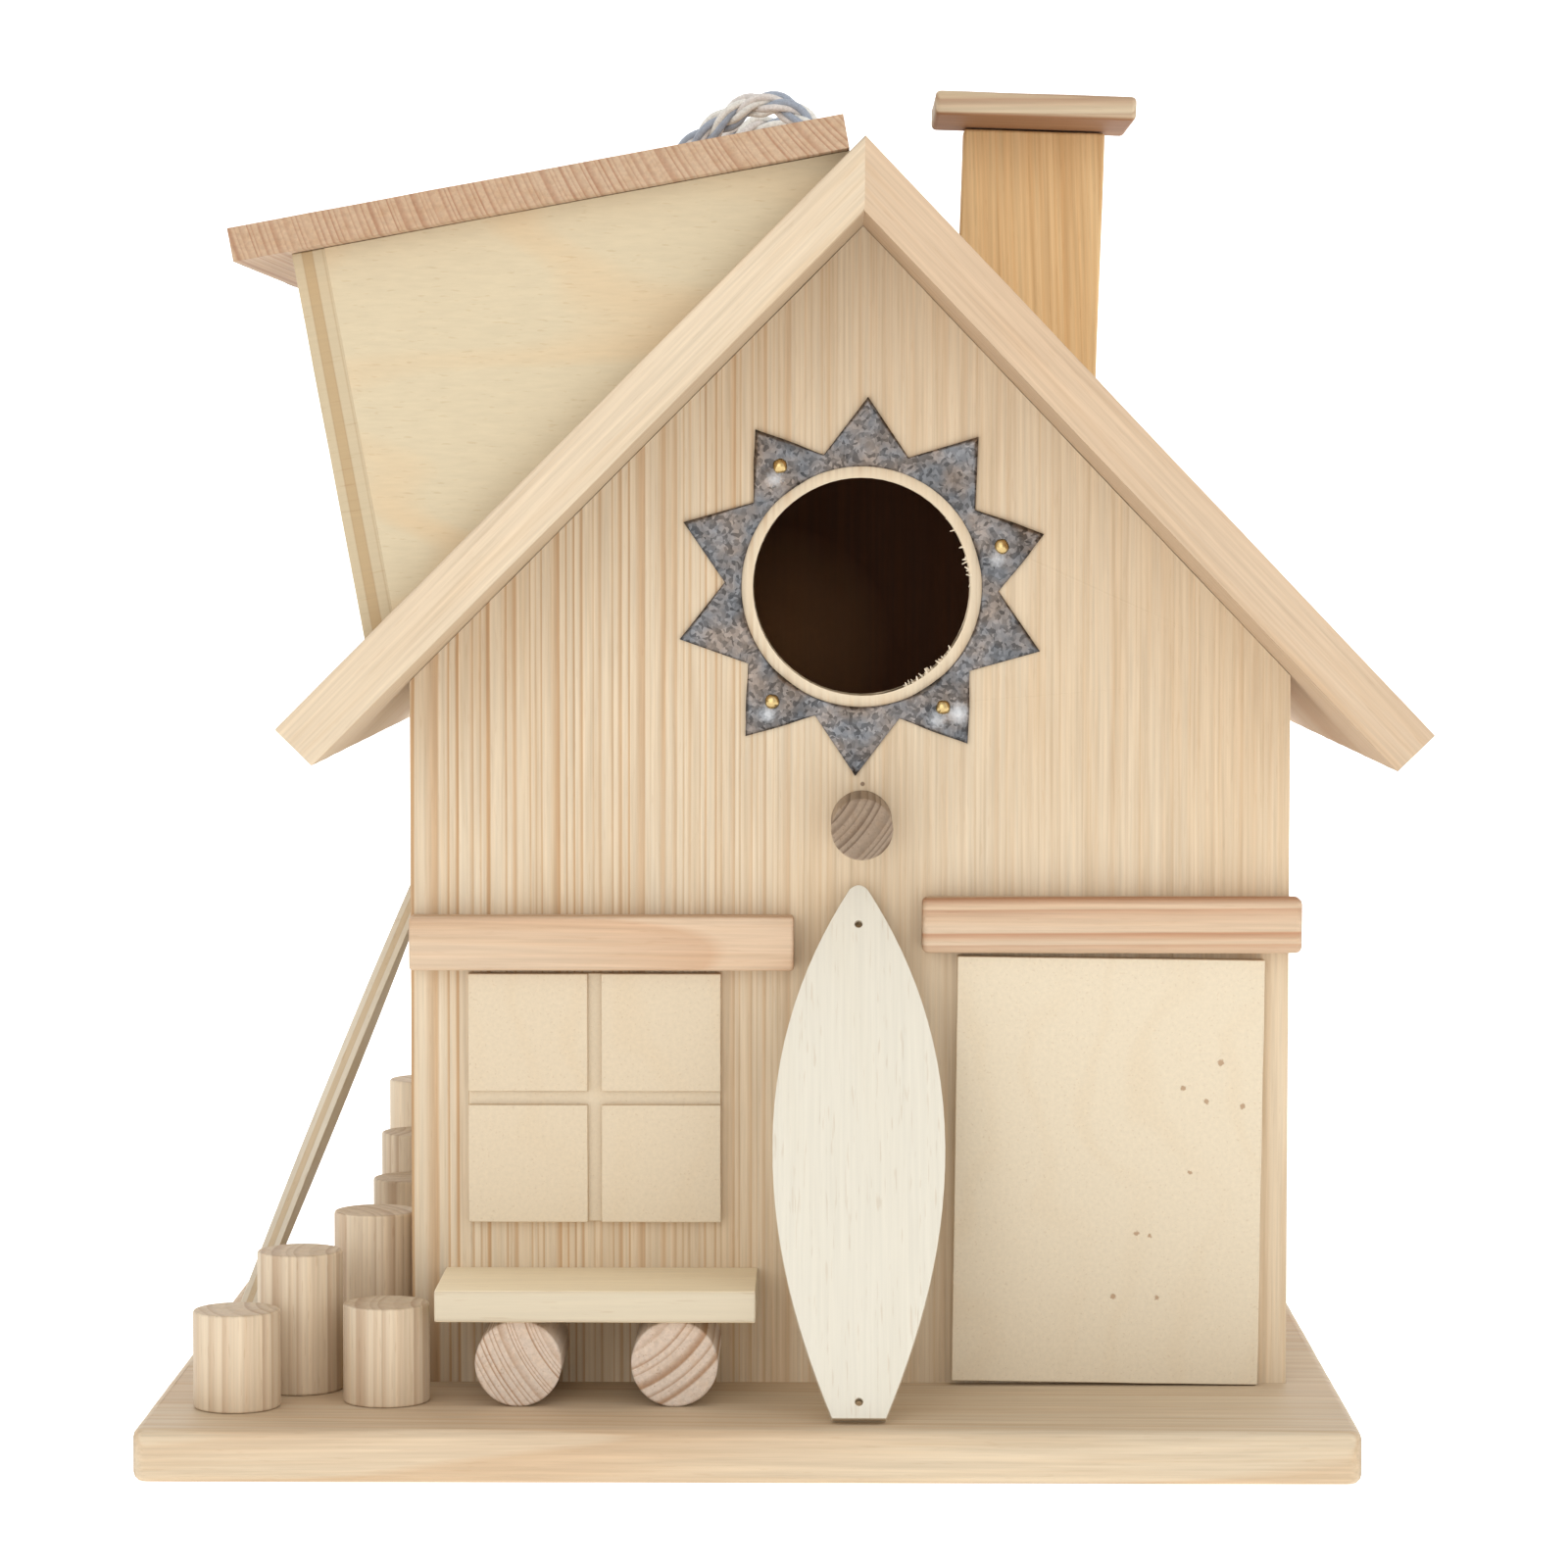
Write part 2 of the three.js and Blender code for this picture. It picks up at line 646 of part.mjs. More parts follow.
// ---------- clean-out cover on the back wall, hanging from one screw ----------
function makeCleanout() {
  const rear = bodyDepth + slideGap;
  const coverWidth = 2 * (cleanoutRadius + coverLap);
  const coverDrop = pivotRise + cleanoutRadius + coverLap;
  const outline = roundedOutline(-coverWidth / 2, -coverDrop, coverWidth,
    coverDrop + coverTopMargin, coverCornerRadius);
  const bore = circle(0, 0, pivotShankRadius + runningClearance, 32);
  const cover = add('cleanout_cover', slab(outline, 0, coverThickness, [bore]), finish.plywood);
  cover.position.set(0, rear, pivotZ);

  const headFace = coverThickness + 2 * slideGap;
  const profile = [
    upright(0, headFace - pivotLength),
    upright(pivotShankRadius * 0.5, headFace - pivotLength),
    upright(pivotShankRadius, headFace - pivotLength + 2),
    upright(pivotShankRadius, headFace),
    upright(pivotHeadRadius, headFace),
    upright(pivotHeadRadius * 0.8, headFace + pivotHeadHeight * 0.75),
    upright(0, headFace + pivotHeadHeight),
  ];
  const screw = add('cleanout_screw', new THREE.LatheGeometry(profile, 32), finish.steel);
  screw.position.set(0, bodyDepth, pivotZ);
}

// ---------- hanging rope: a loop lying on the dormer roof, knotted inside under the ridge ----------
const ropeHalf = [
  [-5.8, 30.0, 200.0],
  [-5.8, 30.0, 212.0],
  [-5.6, 30.0, 223.4],
  [-6.2, 30.2, 227.0],
  [-7.9, 30.9, 230.2],
  [-10.5, 32.0, 232.6],
  [-13.7, 33.3, 233.8],
  [-17.1, 34.7, 233.8],
  [-20.3, 36.0, 232.6],
  [-24.6, 37.6, 229.7],
  [-27.7, 39.3, 227.1],
  [-31.2, 41.4, 224.6],
  [-35.8, 44.1, 222.8],
  [-42.0, 46.7, 221.5],
  [-50.0, 48.5, 220.0],
  [-60.0, 48.2, 218.1],
  [-70.0, 46.4, 216.3],
  [-79.6, 46.0, 214.6],
  [-87.6, 50.2, 213.1],
];
const ropeBight = [-91.2, 59, 212.4];

function makeRope() {
  const mirrored = ropeHalf.map(([x, y, z]) => [x, 2 * ropeBight[1] - y, z]).reverse();
  const points = [...ropeHalf, ropeBight, ...mirrored].map((p) => new THREE.Vector3(...p));
  const section = new THREE.Shape(circle(0, 0, ropeDiameter / 2, 8).getPoints());
  const geometry = new THREE.ExtrudeGeometry(section, {
    steps: 76,
    bevelEnabled: false,
    extrudePath: new THREE.CatmullRomCurve3(points),
  });
  add('hanging_rope', geometry, finish.rope);

  const knotZ = ropeHoleFoot - (knotRadius + seatGap) / Math.cos(pitchLeft);
  ropeHoleDepths.forEach((y, i) => {
    const knot = add(`rope_knot_${i + 1}`, new THREE.SphereGeometry(knotRadius, 20, 12), finish.rope);
    knot.position.set(ropeHoleX, y, knotZ);
  });
}

makeBase();
makeWalls();
makeRoof();
makeDormer();
makeChimney();
makeEntrance();
makeFacade();
makeSkateboard();
makeSurfboard('surfboard_front', surfboardFrontX, 0, 0);
makeSurfboard('surfboard_side', -halfWall, surfboardSideY, -Math.PI / 2);
makeLogs();
makeCleanout();
makeRope();

// ---------- centre the house's box on the origin ----------
const eaveTip = along(outerRidge, downRight, roofLengthRight);
const leftmost = -halfWall - baseMarginLeft;
const rightmost = Math.max(eaveTip.x, halfWall + baseMarginRight);
const frontmost = -Math.max(baseMarginFront, roofOverhangFront);
const rearmost = bodyDepth + Math.max(baseMarginRear, roofOverhangRear);
house.position.set(-(leftmost + rightmost) / 2, -(frontmost + rearmost) / 2, 0);

export default house;
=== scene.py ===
import math
import random

import bmesh
import bpy
from mathutils import Matrix, Vector, noise


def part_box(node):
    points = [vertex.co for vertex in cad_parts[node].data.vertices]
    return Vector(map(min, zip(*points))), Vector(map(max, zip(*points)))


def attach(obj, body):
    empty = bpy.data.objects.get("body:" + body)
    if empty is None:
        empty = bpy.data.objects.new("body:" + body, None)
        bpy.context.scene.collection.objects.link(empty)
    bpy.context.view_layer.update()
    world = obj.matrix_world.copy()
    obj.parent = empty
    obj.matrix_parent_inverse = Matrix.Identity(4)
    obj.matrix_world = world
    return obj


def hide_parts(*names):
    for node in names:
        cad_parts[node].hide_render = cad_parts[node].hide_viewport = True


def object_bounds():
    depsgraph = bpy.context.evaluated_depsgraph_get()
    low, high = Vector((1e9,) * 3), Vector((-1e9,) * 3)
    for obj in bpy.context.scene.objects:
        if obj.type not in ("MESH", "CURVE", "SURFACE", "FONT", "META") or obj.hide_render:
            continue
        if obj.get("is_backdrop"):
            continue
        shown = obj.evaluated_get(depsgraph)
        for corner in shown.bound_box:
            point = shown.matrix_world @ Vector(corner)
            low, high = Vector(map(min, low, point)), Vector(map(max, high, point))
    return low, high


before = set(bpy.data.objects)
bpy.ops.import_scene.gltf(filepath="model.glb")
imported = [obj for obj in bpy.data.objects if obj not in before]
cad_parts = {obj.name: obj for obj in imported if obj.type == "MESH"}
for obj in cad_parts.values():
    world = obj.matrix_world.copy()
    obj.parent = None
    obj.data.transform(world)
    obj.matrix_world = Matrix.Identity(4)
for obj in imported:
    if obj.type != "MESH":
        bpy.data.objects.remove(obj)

bl_info = {
    "name": "Beach Cottage Bird House",
    "version": (1, 0, 0),
    "blender": (4, 5, 0),
    "location": "View3D > Sidebar > Bird House",
    "description": "Builds the wood, metal and rope of a bird house round its packed frame",
    "category": "Object",
}

MM = 0.001
FRAME_BOX = [list(corner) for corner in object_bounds()]
HOUSE = "house"
SHARP = math.radians(35)
NEARLY_FLAT = math.radians(2)
WEAR_WAVE = 9 * MM
# the turns that bring a grain running sideways, front to back or upward to the Z axis
SIDE = (0.0, math.pi / 2, 0.0)
DEPTH = (math.pi / 2, 0.0, 0.0)
UPRIGHT = (0.0, 0.0, 0.0)


# ---------- sizes and colours a user would change ----------
def length(name, description, default, lowest=0.0):
    return bpy.props.FloatProperty(
        name=name, description=description, default=default, min=lowest, unit="LENGTH", precision=5)


def colour(name, description, default):
    return bpy.props.FloatVectorProperty(
        name=name, description=description, default=default, min=0.0, max=1.0, size=3, subtype="COLOR")


class BirdHouseSizes(bpy.types.PropertyGroup):
    board_edge: length("Board edge", "Rounding of the sawn boards' edges", 0.55 * MM)
    thin_edge: length("Thin edge", "Rounding of the plywood pieces' edges", 0.25 * MM)
    dowel_edge: length("Dowel edge", "Rounding of the dowels' ends", 0.45 * MM)
    edge_wear: length("Edge wear", "How far worn edges wander", 0.07 * MM)
    wear_step: length("Wear step", "Distance between the places where an edge wanders", 7 * MM)
    rope_diameter: length("Rope diameter", "Diameter of the hanging rope", 5 * MM)
    rope_lay: length("Rope lay", "Length of one full twist of the rope", 17 * MM)
    nail_head: length("Nail head", "Radius of the brass nails' heads", 1.3 * MM)
    joint_close: length("Joint close", "How far boards grow to close the joints between them", 0.12 * MM)


class BirdHouseColours(bpy.types.PropertyGroup):
    pine: colour("Pine", "Pale early wood of the boards", (0.66, 0.55, 0.40))
    pine_ring: colour("Pine ring", "Late wood of the boards", (0.50, 0.32, 0.17))
    # painted shade: this dark brown of the inside faces stands in for the shade inside the nest box
    inner_painted_shade: colour("Inner pine", "Stained wood inside the nest box", (0.24, 0.085, 0.028))
    roof: colour("Roof", "Early wood of the roof boards", (0.66, 0.53, 0.38))
    rosy: colour("Rosy pine", "Early wood of the headers", (0.62, 0.475, 0.335))
    rosy_ring: colour("Rosy ring", "Late wood of the headers", (0.52, 0.32, 0.19))
    dormer: colour("Dormer", "Early wood of the dormer's roof", (0.52, 0.385, 0.265))
    dormer_ring: colour("Dormer ring", "Late wood of the dormer's roof", (0.36, 0.20, 0.12))
    golden: colour("Golden pine", "Early wood of the chimney", (0.80, 0.56, 0.29))
    golden_ring: colour("Golden ring", "Late wood of the chimney", (0.64, 0.38, 0.16))
    veneer: colour("Veneer", "Face of the thin plywood", (0.60, 0.50, 0.335))
    veneer_grain: colour("Veneer grain", "Figure of the thin plywood", (0.60, 0.44, 0.26))
    surfboard: colour("Surfboard", "Very pale face of the surfboards", (0.69, 0.65, 0.55))
    dowel: colour("Dowel", "Sides of the dowels", (0.71, 0.595, 0.44))
    dowel_grain: colour("Dowel grain", "Streaks of the dowels", (0.40, 0.25, 0.15))
    zinc: colour("Zinc", "Galvanised sheet", (0.20, 0.165, 0.14))
    brass: colour("Brass", "Nail heads round the plate", (0.60, 0.44, 0.20))
    steel: colour("Steel", "Wire nails and the screw", (0.55, 0.55, 0.56))
    rope_cream: colour("Rope cream", "Pale yarn of the rope", (0.87, 0.84, 0.77))
    rope_blue: colour("Rope blue", "Blue-grey yarn of the rope", (0.38, 0.42, 0.49))
    rope_rosy: colour("Rope rosy", "Faintly pink yarn of the rope", (0.78, 0.72, 0.67))
    floor: colour("Floor", "Backdrop", (0.93, 0.93, 0.93))


class BirdHouseStage(bpy.types.PropertyGroup):
    camera_distance: length("Camera distance", "From the front wall to the camera", 0.8063)
    camera_height: length("Camera height", "Height of the camera over the floor", 0.16198)
    camera_side: length("Camera side", "Camera's place to the right of the middle", 0.00922, -1.0)
    camera_lens: bpy.props.FloatProperty(
        name="Lens", description="Focal length on a 36 mm sensor", default=106.84, unit="CAMERA")
    camera_tilt: bpy.props.FloatProperty(
        name="Tilt", description="How far the camera looks down", default=0.0597, subtype="ANGLE")
    camera_turn: bpy.props.FloatProperty(
        name="Turn", description="How far the camera turns left", default=0.0113, subtype="ANGLE")
    key_power: bpy.props.FloatProperty(
        name="Key light", description="Power of the large soft light", default=7.0, unit="POWER")
    fill_power: bpy.props.FloatProperty(
        name="Fill light", description="Power of the soft light from the right", default=2.0, unit="POWER")
    sky: bpy.props.FloatProperty(
        name="Sky", description="Strength of the even light all round", default=0.87)


def sizes():
    return bpy.context.scene.bird_house_sizes


def colours():
    return bpy.context.scene.bird_house_colours


def shaded(base, tint):
    """The colour with each channel multiplied by the tint's, or by a plain number."""
    parts = tint if isinstance(tint, tuple) else (tint, tint, tint)
    return tuple(channel * part for channel, part in zip(base, parts))


# ---------- places ----------
def middle_of(corners):
    low, high = corners
    return (Vector(low) + Vector(high)) / 2


def main_centre(node):
    return middle_of(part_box(node))


# ---------- meshes ----------
def inside(spot):
    """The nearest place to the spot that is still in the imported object's box."""
    return Vector([min(max(value, low), high) for value, low, high in zip(spot, *FRAME_BOX)])


def node_copy(node, grow=0.0):
    """A merged copy of a CAD node's mesh, its flat faces whole, each moved outward by grow."""
    bm = bmesh.new()
    bm.from_mesh(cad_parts[node].data)
    bmesh.ops.remove_doubles(bm, verts=bm.verts, dist=0.003 * MM)
    bmesh.ops.dissolve_limit(bm, angle_limit=math.radians(1), verts=bm.verts, edges=bm.edges)
    bm.normal_update()
    for vert, push in [(vert, vert.normal * grow * vert.calc_shell_factor()) for vert in bm.verts]:
        vert.co = inside(vert.co + push)
    return bm


def sharp_edges(bm):
    return [edge for edge in bm.edges if edge.calc_face_angle(0.0) > SHARP]


def soften(bm, width, wear=0.0, step=0.0, kept=None):
    """Rounds the sharp edges but for those kept(edge) picks. With wear, they wander along their length."""
    for face in bm.faces:
        angles = [edge.calc_face_angle(0.0) for edge in face.edges]
        face.smooth = any(NEARLY_FLAT < angle < SHARP for angle in angles)
    if wear:
        for edge in sharp_edges(bm):
            cuts = int(edge.calc_length() / step)
            if cuts:
                bmesh.ops.bisect_edges(bm, edges=[edge], cuts=cuts)
    chosen = [edge for edge in sharp_edges(bm) if not (kept and kept(edge))]
    rounded = bmesh.ops.bevel(
        bm, geom=chosen, offset=width, offset_type="OFFSET", segments=3, profile=0.5, affect="EDGES",
        clamp_overlap=True, material=-1)
    for face in rounded["faces"]:
        face.smooth = True
    if wear:
        bm.normal_update()
        for vert in {vert for face in rounded["faces"] for vert in face.verts}:
            vert.co = inside(vert.co - vert.normal * wear * noise.noise(vert.co / WEAR_WAVE))


def finish_piece(bm, name, materials, nodes, body=HOUSE):
    """Makes the bmesh an object that rides on its body and stands for its CAD nodes."""
    mesh = bpy.data.meshes.new(name)
    bm.to_mesh(mesh)
    bm.free()
    stale = mesh.attributes.get("custom_normal")
    if stale:
        mesh.attributes.remove(stale)
    return finish_mesh(mesh, name, materials, nodes, body)


def finish_mesh(mesh, name, materials, nodes, body=HOUSE):
    piece = bpy.data.objects.new(name, mesh)
    bpy.context.scene.collection.objects.link(piece)
    for number, material in enumerate(materials):
        if number < len(mesh.materials):
            mesh.materials[number] = material
        else:
            mesh.materials.append(material)
    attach(piece, body)
    if nodes:
        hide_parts(*nodes)
    return piece


def board(node, material, width=None, wear=True, body=HOUSE, grow=0.0, kept=None, inward=None,
          inner=None):
    """A sawn board: its CAD shape with worn, rounded edges; faces turned inward take the inner material."""
    chosen = sizes()
    bm = node_copy(node, grow)
    soften(bm, width or chosen.board_edge, chosen.edge_wear if wear else 0.0, chosen.wear_step, kept=kept)
    materials = [material]
    if inner:
        materials.append(inner)
        bm.normal_update()
        for face in bm.faces:
            face.material_index = int(face.normal.dot(Vector(inward)) > 0.7)
    return finish_piece(bm, node + "_wood", materials, [node], body)


def dowel(node, slot, material, axis):
    """A turned rod the size of its CAD node, along the Y or Z axis."""
    low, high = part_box(node)
    reach = high - low
    turn = {"Y": Matrix.Rotation(math.pi / 2, 4, "X"), "Z": Matrix.Identity(4)}[axis]
    along = "XYZ".index(axis)
    radius = reach[(along + 1) % 3] / 2
    bm = bmesh.new()
    bmesh.ops.create_cone(
        bm, cap_ends=True, segments=72, radius1=radius, radius2=radius, depth=reach[along],
        matrix=Matrix.Translation(main_centre(node)) @ turn)
    soften(bm, sizes().dowel_edge)
    return finish_piece(bm, node + "_rod", [material], [node])


# ---------- materials ----------
LATE_EDGE = 0.8  # where across a ring its late wood is nearly at its darkest
WOOD_ROUGH = 0.62


def place(tree, kind, inputs=None, **settings):
    """Adds a shader node; an input is a value or the socket it is linked from."""
    added = tree.nodes.new(kind)
    for key, value in settings.items():
        setattr(added, key, value)
    for key, value in (inputs or {}).items():
        if isinstance(value, bpy.types.NodeSocket):
            tree.links.new(value, added.inputs[key])
        else:
            added.inputs[key].default_value = value
    return added


def maths(tree, operation, *values, clamp=False):
    inputs = dict(enumerate(values))
    return place(tree, "ShaderNodeMath", inputs, operation=operation, use_clamp=clamp).outputs[0]


def ramp(tree, factor, stops):
    """A colour ramp; each stop is (position, grey) or (position, (r, g, b))."""
    node = place(tree, "ShaderNodeValToRGB", {"Fac": factor})
    elements = node.color_ramp.elements
    while len(elements) < len(stops):
        elements.new(0.5)
    for element, (position, value) in zip(elements, stops):
        shade = value if isinstance(value, tuple) else (value, value, value)
        element.position = position
        element.color = (*shade, 1.0)
    return node.outputs["Color"]


def blend_colours(tree, factor, first, second, mode="MIX"):
    node = place(tree, "ShaderNodeMix", data_type="RGBA", blend_type=mode)
    for index, value in ((0, factor), (6, first), (7, second)):
        if isinstance(value, bpy.types.NodeSocket):
            tree.links.new(value, node.inputs[index])
        else:
            node.inputs[index].default_value = value if index == 0 else (*value, 1.0)
    return node.outputs[2]


def mapped(tree, source, location=(0, 0, 0), rotation=(0, 0, 0), scale=(1, 1, 1)):
    return place(
        tree, "ShaderNodeMapping",
        {"Vector": source, "Location": location, "Rotation": rotation, "Scale": scale}).outputs[0]


def mottle(tree, vector, scale, detail=2.0, roughness=0.5):
    return place(
        tree, "ShaderNodeTexNoise",
        {"Vector": vector, "Scale": scale, "Detail": detail, "Roughness": roughness}).outputs["Fac"]


def disc(tree, centre, spot, inner=0.0, ragged=0.0):
    """How near a place is to a disc seen from the front: 1 in its core, 0 outside its rim.

    spot is (across, up, radius) in millimetres from the centre, inner the core's share of the radius.
    """
    across, up, radius = spot
    source = place(tree, "ShaderNodeTexCoord").outputs["Object"]
    flat = mapped(tree, source, location=(-centre[0] - across * MM, 0, -centre[2] - up * MM), scale=(1, 0, 1))
    distance = place(tree, "ShaderNodeVectorMath", {0: flat}, operation="LENGTH").outputs["Value"]
    if ragged:
        rough_edge = maths(tree, "MULTIPLY", mottle(tree, source, 2200.0, 2.0), ragged * MM)
        distance = maths(tree, "ADD", distance, rough_edge)
    return ramp(tree, maths(tree, "DIVIDE", distance, radius * MM), [(inner, 1.0), (1.0, 0.0)])


def new_material(name):
    material = bpy.data.materials.new(name)
    material.use_nodes = True
    tree = material.node_tree
    tree.nodes.clear()
    output = place(tree, "ShaderNodeOutputMaterial")
    shader = place(tree, "ShaderNodeBsdfPrincipled")
    tree.links.new(shader.outputs[0], output.inputs["Surface"])
    return material, tree, shader


def grain_space(tree, grain, centre):
    """Object coordinates about a piece's centre, turned so that the grain runs along Z."""
    source = place(tree, "ShaderNodeTexCoord")
    shifted = mapped(tree, source.outputs["Object"], location=[-c for c in centre])
    turned = mapped(tree, shifted, rotation=grain)
    facing = mapped(tree, source.outputs["Normal"], rotation=grain)
    return turned, facing


def wood(name, centre, grain, light, dark, pith=(60, 40), ring=2.6, contrast=0.7, wander=1.6,
         streaks=0.35, blotch=0.25, warm=(0.95, 0.82, 0.70), tilt=(0.0, 0.0), end_shade=0.82,
         fade=None, flecks=0.12, line=0.45, underside_shade=None, spots=()):
    """Solid wood: growth rings about a pith that runs beside the piece, fibres, pores and blotches.

    pith is the pith's place beside the centre in millimetres, ring the rings' spacing, wander how far
    they drift, tilt how far the pith leans from the grain, line the share of a ring over which it darkens,
    fade (axis, from, to) a stretch in millimetres over which the rings get faint, the underside tint a
    painted shade for faces that look down, and spots (across, up, radius, core, colour) discs seen from
    the front, placed in millimetres from the centre and fading outside the core's share of their radius.
    """
    material, tree, shader = new_material(name)
    space, facing = grain_space(tree, grain, centre)
    drift = place(
        tree, "ShaderNodeTexNoise", {"Vector": mapped(tree, space, scale=(1, 1, 0.12)), "Scale": 30.0,
                                     "Detail": 1.5}).outputs["Color"]
    centred = place(
        tree, "ShaderNodeVectorMath", {0: drift, 1: (0.5, 0.5, 0.5)}, operation="SUBTRACT").outputs[0]
    pushed = place(
        tree, "ShaderNodeVectorMath", {0: centred, "Scale": 2 * wander * MM}, operation="SCALE").outputs[0]
    bent = place(tree, "ShaderNodeVectorMath", {0: space, 1: pushed}, operation="ADD").outputs[0]
    leaned = mapped(tree, bent, location=(pith[0] * MM, pith[1] * MM, 0), rotation=(tilt[0], tilt[1], 0))
    flat = place(tree, "ShaderNodeVectorMath", {0: leaned, 1: (1, 1, 0)}, operation="MULTIPLY").outputs[0]
    radius = place(tree, "ShaderNodeVectorMath", {0: flat}, operation="LENGTH").outputs["Value"]
    count = maths(tree, "MULTIPLY", radius, 1.0 / (ring * MM))
    uneven = place(
        tree, "ShaderNodeTexNoise", {"W": count, "Scale": 0.55, "Detail": 0.0},
        noise_dimensions="1D").outputs["Fac"]
    spaced = maths(tree, "ADD", count, maths(tree, "MULTIPLY", uneven, 1.4))
    phase = maths(tree, "FRACT", spaced)
    late = ramp(
        tree, phase,
        [(0.0, 0.0), (LATE_EDGE - line, 0.08), (LATE_EDGE, 0.85), (LATE_EDGE + 0.1, 1.0), (1.0, 0.05)])
    strength = place(
        tree, "ShaderNodeTexNoise", {"W": maths(tree, "FLOOR", spaced), "Scale": 3.7, "Detail": 0.0},
        noise_dimensions="1D").outputs["Fac"]
    rings = maths(tree, "MULTIPLY", late, maths(tree, "MULTIPLY_ADD", strength, 1.5, 0.1), clamp=True)
    patch = mottle(tree, mapped(tree, space, scale=(1, 1, 0.3)), 22.0, 2.0)
    shown = maths(tree, "MULTIPLY", rings, contrast)
    if fade:
        axis, start, end = fade
        along = place(tree, "ShaderNodeSeparateXYZ", {0: space}).outputs["XYZ".index(axis)]
        loose = maths(tree, "ADD", along, maths(tree, "MULTIPLY", maths(tree, "SUBTRACT", patch, 0.5), 0.03))
        share = place(
            tree, "ShaderNodeMapRange",
            {"Value": loose, "From Min": start * MM, "From Max": end * MM, "To Min": 1.0, "To Max": 0.22},
            interpolation_type="SMOOTHSTEP").outputs[0]
        shown = maths(tree, "MULTIPLY", shown, share)
    fibre = mottle(tree, mapped(tree, bent, scale=(1, 1, 0.022)), 1500.0, 3.0, 0.6)
    streak = mottle(tree, mapped(tree, bent, scale=(1, 1, 0.03)), 420.0, 3.0, 0.6)
    base = blend_colours(tree, shown, light, dark)
    toned = blend_colours(
        tree, maths(tree, "MULTIPLY", ramp(tree, patch, [(0.42, 0.0), (0.68, 1.0)]), blotch),
        base, warm, "MULTIPLY")
    streaked = blend_colours(
        tree, maths(tree, "MULTIPLY", ramp(tree, streak, [(0.45, 0.0), (0.72, 1.0)]), streaks),
        toned, (0.80, 0.66, 0.50), "MULTIPLY")
    grained = blend_colours(
        tree, 0.7, streaked, ramp(tree, fibre, [(0.3, 0.80), (0.7, 1.10)]), "MULTIPLY")
    pores = mottle(tree, mapped(tree, bent, scale=(1, 1, 0.09)), 2600.0, 1.0, 0.4)
    dotted = blend_colours(
        tree, maths(tree, "MULTIPLY", ramp(tree, pores, [(0.66, 0.0), (0.74, 1.0)]), flecks),
        grained, (0.62, 0.44, 0.30), "MULTIPLY")
    facing_z = place(tree, "ShaderNodeSeparateXYZ", {0: facing}).outputs["Z"]
    end = ramp(tree, maths(tree, "ABSOLUTE", facing_z), [(0.75, 0.0), (0.92, 1.0)])
    ended = blend_colours(tree, end, dotted, blend_colours(
        tree, 1.0, dotted, (end_shade, end_shade * 0.96, end_shade * 0.92), "MULTIPLY"))
    for across, up, radius_mm, core, shade in spots:
        near = disc(tree, centre, (across, up, radius_mm), core)
        ended = blend_colours(tree, maths(tree, "MULTIPLY", near, 0.8), ended, shade)
    # painted shade: faces that look down are darkened by the underside tint
    if underside_shade:
        source = place(tree, "ShaderNodeTexCoord").outputs["Normal"]
        upward = place(tree, "ShaderNodeSeparateXYZ", {0: source}).outputs["Z"]
        below = ramp(tree, maths(tree, "MULTIPLY", upward, -1.0), [(0.3, 0.0), (0.8, 1.0)])
        ended = blend_colours(tree, below, ended, blend_colours(tree, 1.0, ended, underside_shade, "MULTIPLY"))
    tree.links.new(ended, shader.inputs["Base Color"])
    tree.links.new(maths(tree, "MULTIPLY_ADD", fibre, 0.22, WOOD_ROUGH - 0.11), shader.inputs["Roughness"])
    shader.inputs["Specular IOR Level"].default_value = 0.32
    relief = maths(tree, "ADD", maths(tree, "MULTIPLY", fibre, 0.7), maths(tree, "MULTIPLY", rings, 0.35))
    bumped = place(tree, "ShaderNodeBump", {"Strength": 0.35, "Distance": 0.12 * MM, "Height": relief})
    tree.links.new(bumped.outputs[0], shader.inputs["Normal"])
    return material


